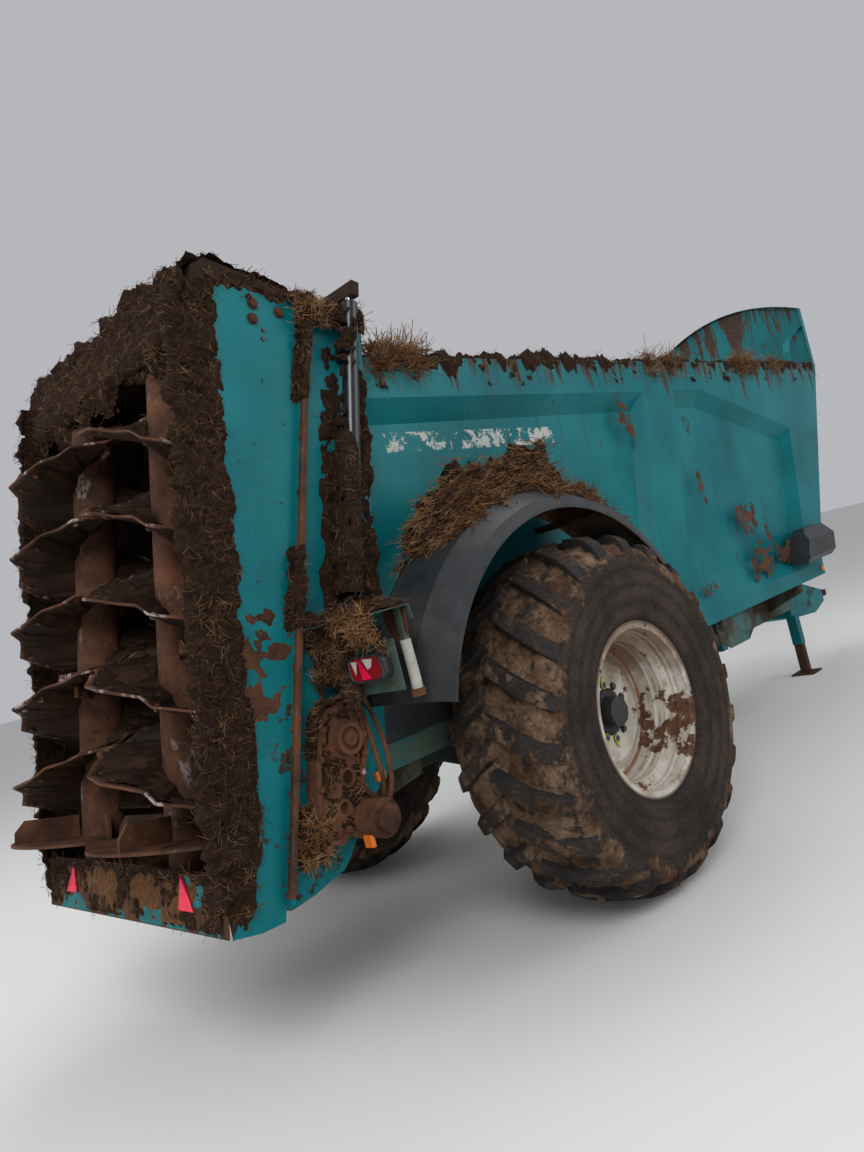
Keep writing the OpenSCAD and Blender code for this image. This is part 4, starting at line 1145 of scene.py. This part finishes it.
def beaterLugs(side, name):
    inner, outer, tall = lugSet["inner"], lugSet["outer"], lugSet["high"]
    for k, (turn, high) in enumerate(lugSet["rows"]):
        rows = ((inner, high), (outer, high + 0.004), (outer, high + tall - 0.006), (inner, high + tall))
        way = (beaterPlace(side, turn + 90, 1, high) - beaterPlace(side, turn, 0, high)).normalized()
        corners = [beaterPlace(side, turn, *row) - way * lugSet["thick"] * 0.5 for row in rows]
        flatPiece("beater_bar_%d_%s" % (k, name), corners, lugSet["thick"], "edge", "beater_" + name, way)


for side, name in sides:
    beaterLugs(side, name)

# the bent plates of the flights, as in the CAD; rows: share of a plate, rise, how far the edge lies back
flightSet = {"reach": 0.395, "root": 0.105, "first": 0.120, "rise": 0.704, "turns": 2.5, "plates": 6,
             "turn": -10, "rows": ((0, 0, 0.045), (0.2, 0.2, 0), (0.6, 0.46, 0.008), (0.75, 0.84, 0.035))}
beaterAxis = Vector((0, leanSin, leanCos))


def flightCorner(i, start, reach, lift=0.0):  # the place of a corner of the flights on the right beater
    share, up, _ = flightSet["rows"][i % 4]
    plate = i // 4
    a = math.radians(start + flightSet["turn"] - (plate + share) * 360 / flightSet["plates"])
    high = flightSet["first"] + (plate + up) * flightSet["rise"] / flightSet["plates"] + lift
    x, y = math.cos(a) * reach, math.sin(a) * reach
    return Vector((beaterSet["x"] + x, beaterSet["y"] + axleY + y * leanCos + high * leanSin,
                   beaterSet["z"] - y * leanSin + high * leanCos))


def outward(i):
    return flightSet["reach"] - flightSet["rows"][i % 4][2]


def flightEdges(side, name):  # the outer edge, rubbed bright, its bolts and caught straw
    verts, faces, bolts, straw = [], [], [], []
    last = int(4 * flightSet["plates"] * flightSet["turns"])
    for start in (0, 180):
        first = len(verts)
        for i in range(last + 1):
            outer = outward(i) + 0.0012
            inner = outer - 0.020
            for reach, lift in ((inner, -0.0012), (outer, -0.0012), (outer, 0.0092), (inner, 0.0092)):
                verts.append(flip(flightCorner(i, start, reach, lift), side))
            if i < last:
                for k in range(4):
                    m = (k + 1) % 4
                    a, b = first + 4 * i, first + 4 * i + 4
                    quad = (a + k, b + k, b + m, a + m)
                    faces.append(quad if side > 0 else quad[::-1])
            if i % 4 in (1, 2) and i < last:
                for lift, way in ((0.008, beaterAxis), (0.0, -beaterAxis)):
                    bolts.append((flip(flightCorner(i, start, outward(i) - 0.055, lift), side), way))
            straw.append((flip(flightCorner(i, start, rnd.uniform(0.13, 0.33), 0.009), side), beaterAxis))
        for a in (first, len(verts) - 4):
            faces.append((a, a + 1, a + 2, a + 3))
    addPiece("flight_edge_" + name, verts, faces, "edge", "beater_" + name, False)
    addBolts("flight_bolts_" + name, bolts, 0.012, "edge", "beater_" + name)
    scatterStraw("flight_straw_" + name, straw, 420, (0.02, 0.07), 0.0012, 0.3, "beater_" + name)


def cakeFlights(side, name, start):
    last = 4 * flightSet["plates"] * flightSet["turns"]

    def spot(u, v):
        i = min(int(v * last), int(last) - 1)
        rows = []
        for k in (i, i + 1):
            near = flightCorner(k, start, flightSet["root"], 0.008)
            rows.append(near.lerp(flightCorner(k, start, outward(k) - 0.030, 0.008), u))
        return rows[0].lerp(rows[1], v * last - i), beaterAxis

    def thick(u, v, p):
        return 0.020 * (clods(p, 8) + 0.45 * clods(p, 28, 3) + 0.45 - 0.5 * u)

    sidePatch("flight_manure_%d" % start, side, spot, 12, 300, thick, "beater_" + name)


for side, name in sides:
    flightEdges(side, name)
    for start in (0, 180):
        cakeFlights(side, name, start)
print("beaters are dressed")

# wheel nuts, the pointers on them and the rim's pressed ribs (place across, radius)
hubSet = {"face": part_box("rim_right")[1][0] - 0.235, "studs": 10, "ring": 0.138, "tabs": (2, 3, 4, 6, 7),
          "ribs": ((0.090, 0.3512), (0.152, 0.3530), (0.205, 0.3900)), "corners": 120,
          "rib": ((-0.012, 0.002), (-0.006, -0.0045), (0, -0.006), (0.006, -0.0045), (0.012, 0.002))}


def onWheel(x, radius, a):
    return Vector((x, axleY + radius * math.cos(a), axleZ + radius * math.sin(a)))


def dressRim(side, name):
    body = "wheel_" + name
    turns = [2 * math.pi * (k + 0.5) / hubSet["studs"] for k in range(hubSet["studs"])]
    spots = [(onWheel(side * hubSet["face"], hubSet["ring"], a), Vector((side, 0, 0))) for a in turns]
    addBolts("wheel_nuts_" + name, spots, 0.017, "lensDark", body)
    for k in hubSet["tabs"]:  # small plastic pointers that show a loose nut
        q = spots[k][0] + Vector((side * 0.007, 0, 0))
        out = Vector((0, q.y - axleY, q.z - axleZ)).normalized()
        across = Vector((1, 0, 0)).cross(out)
        rows = ((0.045, 0.004), (0, 0.022), (-0.020, 0.012), (-0.020, -0.012), (0, -0.022), (0.045, -0.004))
        corners = [q + out * a + across * b for a, b in rows]
        flatPiece("nut_pointer_%d_%s" % (k, name), corners, 0.004, "yellow", body, (side, 0, 0))
    verts, faces = [], []
    count = hubSet["corners"]
    for middle, radius in hubSet["ribs"]:
        first = len(verts)
        for k in range(count):
            for dx, dr in hubSet["rib"]:
                verts.append(onWheel(side * (wheelX + middle + dx), radius + dr, 2 * math.pi * k / count))
        for k in range(count):
            m = (k + 1) % count
            for j in range(4):
                quad = (first + 5 * k + j, first + 5 * k + j + 1, first + 5 * m + j + 1, first + 5 * m + j)
                faces.append(quad if side > 0 else quad[::-1])
    addPiece("rim_ribs_" + name, verts, faces, "rim", body)


for side, name in sides:
    dressRim(side, name)
print("rims are dressed")

# rust spots: place along the machine, height, length, depth; first the distance of the face from the middle
spotSet = {"side": (0.7803, ((1.560, 2.540, 0.10, 0.16), (1.620, 2.470, 0.05, 0.12),
                             (2.400, 2.000, 0.05, 0.22), (3.020, 1.640, 0.22, 0.16),
                             (3.120, 1.300, 0.30, 0.20), (3.600, 1.290, 0.30, 0.13),
                             (2.150, 1.250, 0.16, 0.08), (3.360, 1.480, 0.10, 0.18))),
           "panel": (0.8403, ((-1.64, 1.785, 0.17, 0.05), (-1.70, 1.695, 0.10, 0.07),
                              (-1.62, 1.660, 0.11, 0.08), (-1.75, 1.640, 0.10, 0.11),
                              (-1.73, 1.440, 0.15, 0.08), (-1.79, 1.535, 0.08, 0.09)))}


def rustSpot(stem, k, side, x, row):
    y0, z0, long, deep = row

    def spot(u, v):
        y, z = y0 + long * (u - 0.5) * 1.5, z0 + deep * (v - 0.5) * 1.5
        return place(x + 0.0001 * k, y, z), Vector((1, 0, 0))

    def thick(u, v, p):
        there = 0.30 - math.hypot(u - 0.5, v - 0.5) * 1.2 + 0.9 * clods(p, 16, 5)
        return 0.0012 * min(1.0, 5 * there)

    sidePatch("%s_rust_%d" % (stem, k), side, spot, 26, 30, thick, "root", "crust")


for side, name in sides:
    for stem, (x, rows) in spotSet.items():
        for k, row in enumerate(rows):
            rustSpot(stem, k, side, x, row)


# dirt that hangs from the console's outer end, the pale tube, the second orange marker
def cakeCorner(side):
    def spot(u, v):
        p = place(1.02 + 0.285 * u, -1.504 + 0.06 * v, 1.702 - 0.20 * v)
        return p, Vector((0.1, -1, 0.1)).normalized()

    def thick(u, v, p):
        reach = 0.20 + 0.75 * max(0, u - 0.45) / 0.55 + 0.45 * clods(Vector((p.x, 0, 2)), 9, 4)
        return 0.030 * (0.55 + 0.8 * clods(p, 11) + 0.4 * clods(p, 31, 3)) * min(1.0, (reach - v) * 4)

    return sidePatch("corner_manure", side, spot, 34, 26, thick)


# place along the machine, then the outlines
consoleSet = {"tube": (-1.305, ((1.249, 1.350), (1.251, 1.400), (1.250, 1.480), (1.247, 1.565))),
              "sheet": (-1.300, ((1.150, 1.690), (1.288, 1.690), (1.270, 1.585), (1.215, 1.560),
                                 (1.165, 1.600))),
              "foot": (-1.305, ((1.249, 1.338), (1.249, 1.350), (1.249, 1.368)))}
for side, name in sides:
    scatterStraw("corner_straw_" + name, cakeCorner(side), 360, (0.03, 0.10), 0.0013, 0.3, "root", "hay")
    tube, sheet, foot = [[place(side * x, y, z) for x, z in rows] for y, rows in consoleSet.values()]
    tubeAlong("board_tube_" + name, tube, 0.0225, "paleTube", "root", 20)
    flatPiece("console_sheet_" + name, sheet, 0.006, "crust")
    tubeAlong("board_tube_foot_" + name, foot, 0.029, "crust", "root", 16)

markerSet = {"x": (0.925, 0.972), "y": -1.452, "z": 0.812, "half": 0.026}


def markerCorners():
    (x0, x1), half = markerSet["x"], markerSet["half"]
    low, high = markerSet["z"] - half, markerSet["z"] + half
    return [place(x, markerSet["y"] - half, z) for x, z in ((x0, low), (x1, low), (x1, high), (x0, high))]


flatPiece("lower_marker", markerCorners(), 0.020, "orange")

# the gear case: dirt on its cover but not on the bearings (place, radius), pipes to the motor
caseSet = {"bearings": ((1.441, 1.224, 0.085), (1.469, 1.071, 0.045), (1.522, 0.961, 0.040)),
           "top": [(-1.612, 1.190), (-1.562, 1.309), (-1.525, 1.360), (-1.466, 1.371), (-1.397, 1.371),
                   (-1.345, 1.349)]}


def dirtyCase():
    def spot(u, v):
        return place(0.8915, -1.655 + 0.320 * u, 0.82 + 0.53 * v), Vector((1, 0, 0))

    def thick(u, v, p):
        y, z = p.y - axleY, p.z
        clear = min(math.hypot(y + a, z - b) - c for a, b, c in caseSet["bearings"])
        left, right = -1.575 - 0.24 * (1.18 - z) * (1 if z < 1.18 else 0.3), -1.372 - 0.14 * abs(z - 1.18)
        edge = min(y - left, right - y, clear, z - 0.875) * 30
        return 0.012 * min(1.0, 1.3 * (clods(p, 10) + 0.5 * clods(p, 31, 4) + 0.05), edge)

    return dirtPatch("case_dirt", spot, 50, 80, thick)


scatterStraw("case_dirt_straw", dirtyCase(), 110, (0.02, 0.06), 0.0011, 0.4, "root", "hay")

pipeSet = {"radius": 0.011,
           "routes": ([(0.955, -1.370, 0.945), (0.962, -1.352, 1.010), (0.930, -1.330, 1.120),
                       (0.905, -1.322, 1.260), (0.880, -1.330, 1.420), (0.862, -1.345, 1.500)],
                      [(0.990, -1.375, 0.940), (0.998, -1.345, 1.000), (0.965, -1.300, 1.110),
                       (0.925, -1.285, 1.250), (0.885, -1.300, 1.410), (0.862, -1.320, 1.480)])}
for k, route in enumerate(pipeSet["routes"]):
    points = [place(*q) for q in route]
    tubeAlong("motor_pipe_%d" % k, points, pipeSet["radius"], "crust")
    nuts = [(points[0], Vector((0.1, 0.3, 1))), (points[-1], Vector((-1, 0, 0.2)))]
    addBolts("pipe_nuts_%d" % k, nuts, 0.019, "dark")

# painted shade: a thin dark sheet set behind the wheel where the body side lies in shadow; its place and
# size
shadeSheetSet = {"x": 0.7835, "y": (-1.190, -0.560), "z": (1.108, 1.420), "bulge": 0.010, "columns": 24,
             "rows": 12}


def shadeSheet(side, name):  # the thin sheet between the wheel and the body behind the axle
    verts, faces = [], []
    nu, nv = shadeSheetSet["columns"], shadeSheetSet["rows"]
    (rear, front), (foot, head) = shadeSheetSet["y"], shadeSheetSet["z"]
    for back in (0, 1):
        for j in range(nv + 1):
            for i in range(nu + 1):
                u, v = i / nu, j / nv
                top = head - 0.17 * (1 - u) ** 2
                x = shadeSheetSet["x"] + shadeSheetSet["bulge"] * math.sin(math.pi * v) - 0.003 * back
                verts.append(place(side * x, rear + (front - rear) * u, foot + (top - foot) * v))
    half = (nu + 1) * (nv + 1)
    for j in range(nv):
        for i in range(nu):
            a = j * (nu + 1) + i
            faces.append((a, a + 1, a + nu + 2, a + nu + 1))
            faces.append((half + a + nu + 1, half + a + nu + 2, half + a + 1, half + a))
    for i in range(nu):
        faces.append((i + 1, i, half + i, half + i + 1))
        a = nv * (nu + 1) + i
        faces.append((a, a + 1, half + a + 1, half + a))
    for j in range(nv):
        a, b = j * (nu + 1), (j + 1) * (nu + 1)
        faces.append((a, b, half + b, half + a))
        faces.append((b + nu, a + nu, half + a + nu, half + b + nu))
    addPiece("painted_shade_sheet_" + name, verts, faces, "plastic")


for side, name in sides:
    shadeSheet(side, name)
# the dark sheets behind the wheels are painted shade
print("bolts, bars, pipes and painted shade sheets are on")


# muck on the gear case's top and below it
def cakeCase():
    def spot(u, v):
        y, z = along(caseSet["top"], u)[0]
        return place(0.834 + 0.080 * v, y, z), Vector((0.2 * v, -0.25, 1)).normalized()

    def thick(u, v, p):
        rim = min(1, 6 * min(u + 0.05, 1.02 - u))
        return 0.030 * (0.55 + 0.9 * clods(p, 11) + 0.5 * clods(p, 33, 3)) * rim

    return dirtPatch("case_manure", spot, 50, 14, thick)


def cakeCaseFoot():
    def spot(u, v):
        return place(0.838, -1.760 + 0.150 * u, 0.790 + 0.230 * v), Vector((1, -0.2, 0)).normalized()

    def thick(u, v, p):
        rim = min(1.0, 5 * min(u + 0.02, 1 - u, v + 0.05, 1 - v))
        return 0.075 * (0.45 + 0.9 * clods(p, 9) + 0.4 * clods(p, 30, 3)) * rim - 0.004

    return dirtPatch("case_clump", spot, 24, 36, thick)


scatterStraw("case_straw", cakeCase(), 300, (0.02, 0.07), 0.0012, 0.5)
scatterStraw("clump_straw", cakeCaseFoot(), 460, (0.03, 0.09), 0.0013, 0.5, "root", "hay")
print("gear case is mucky")
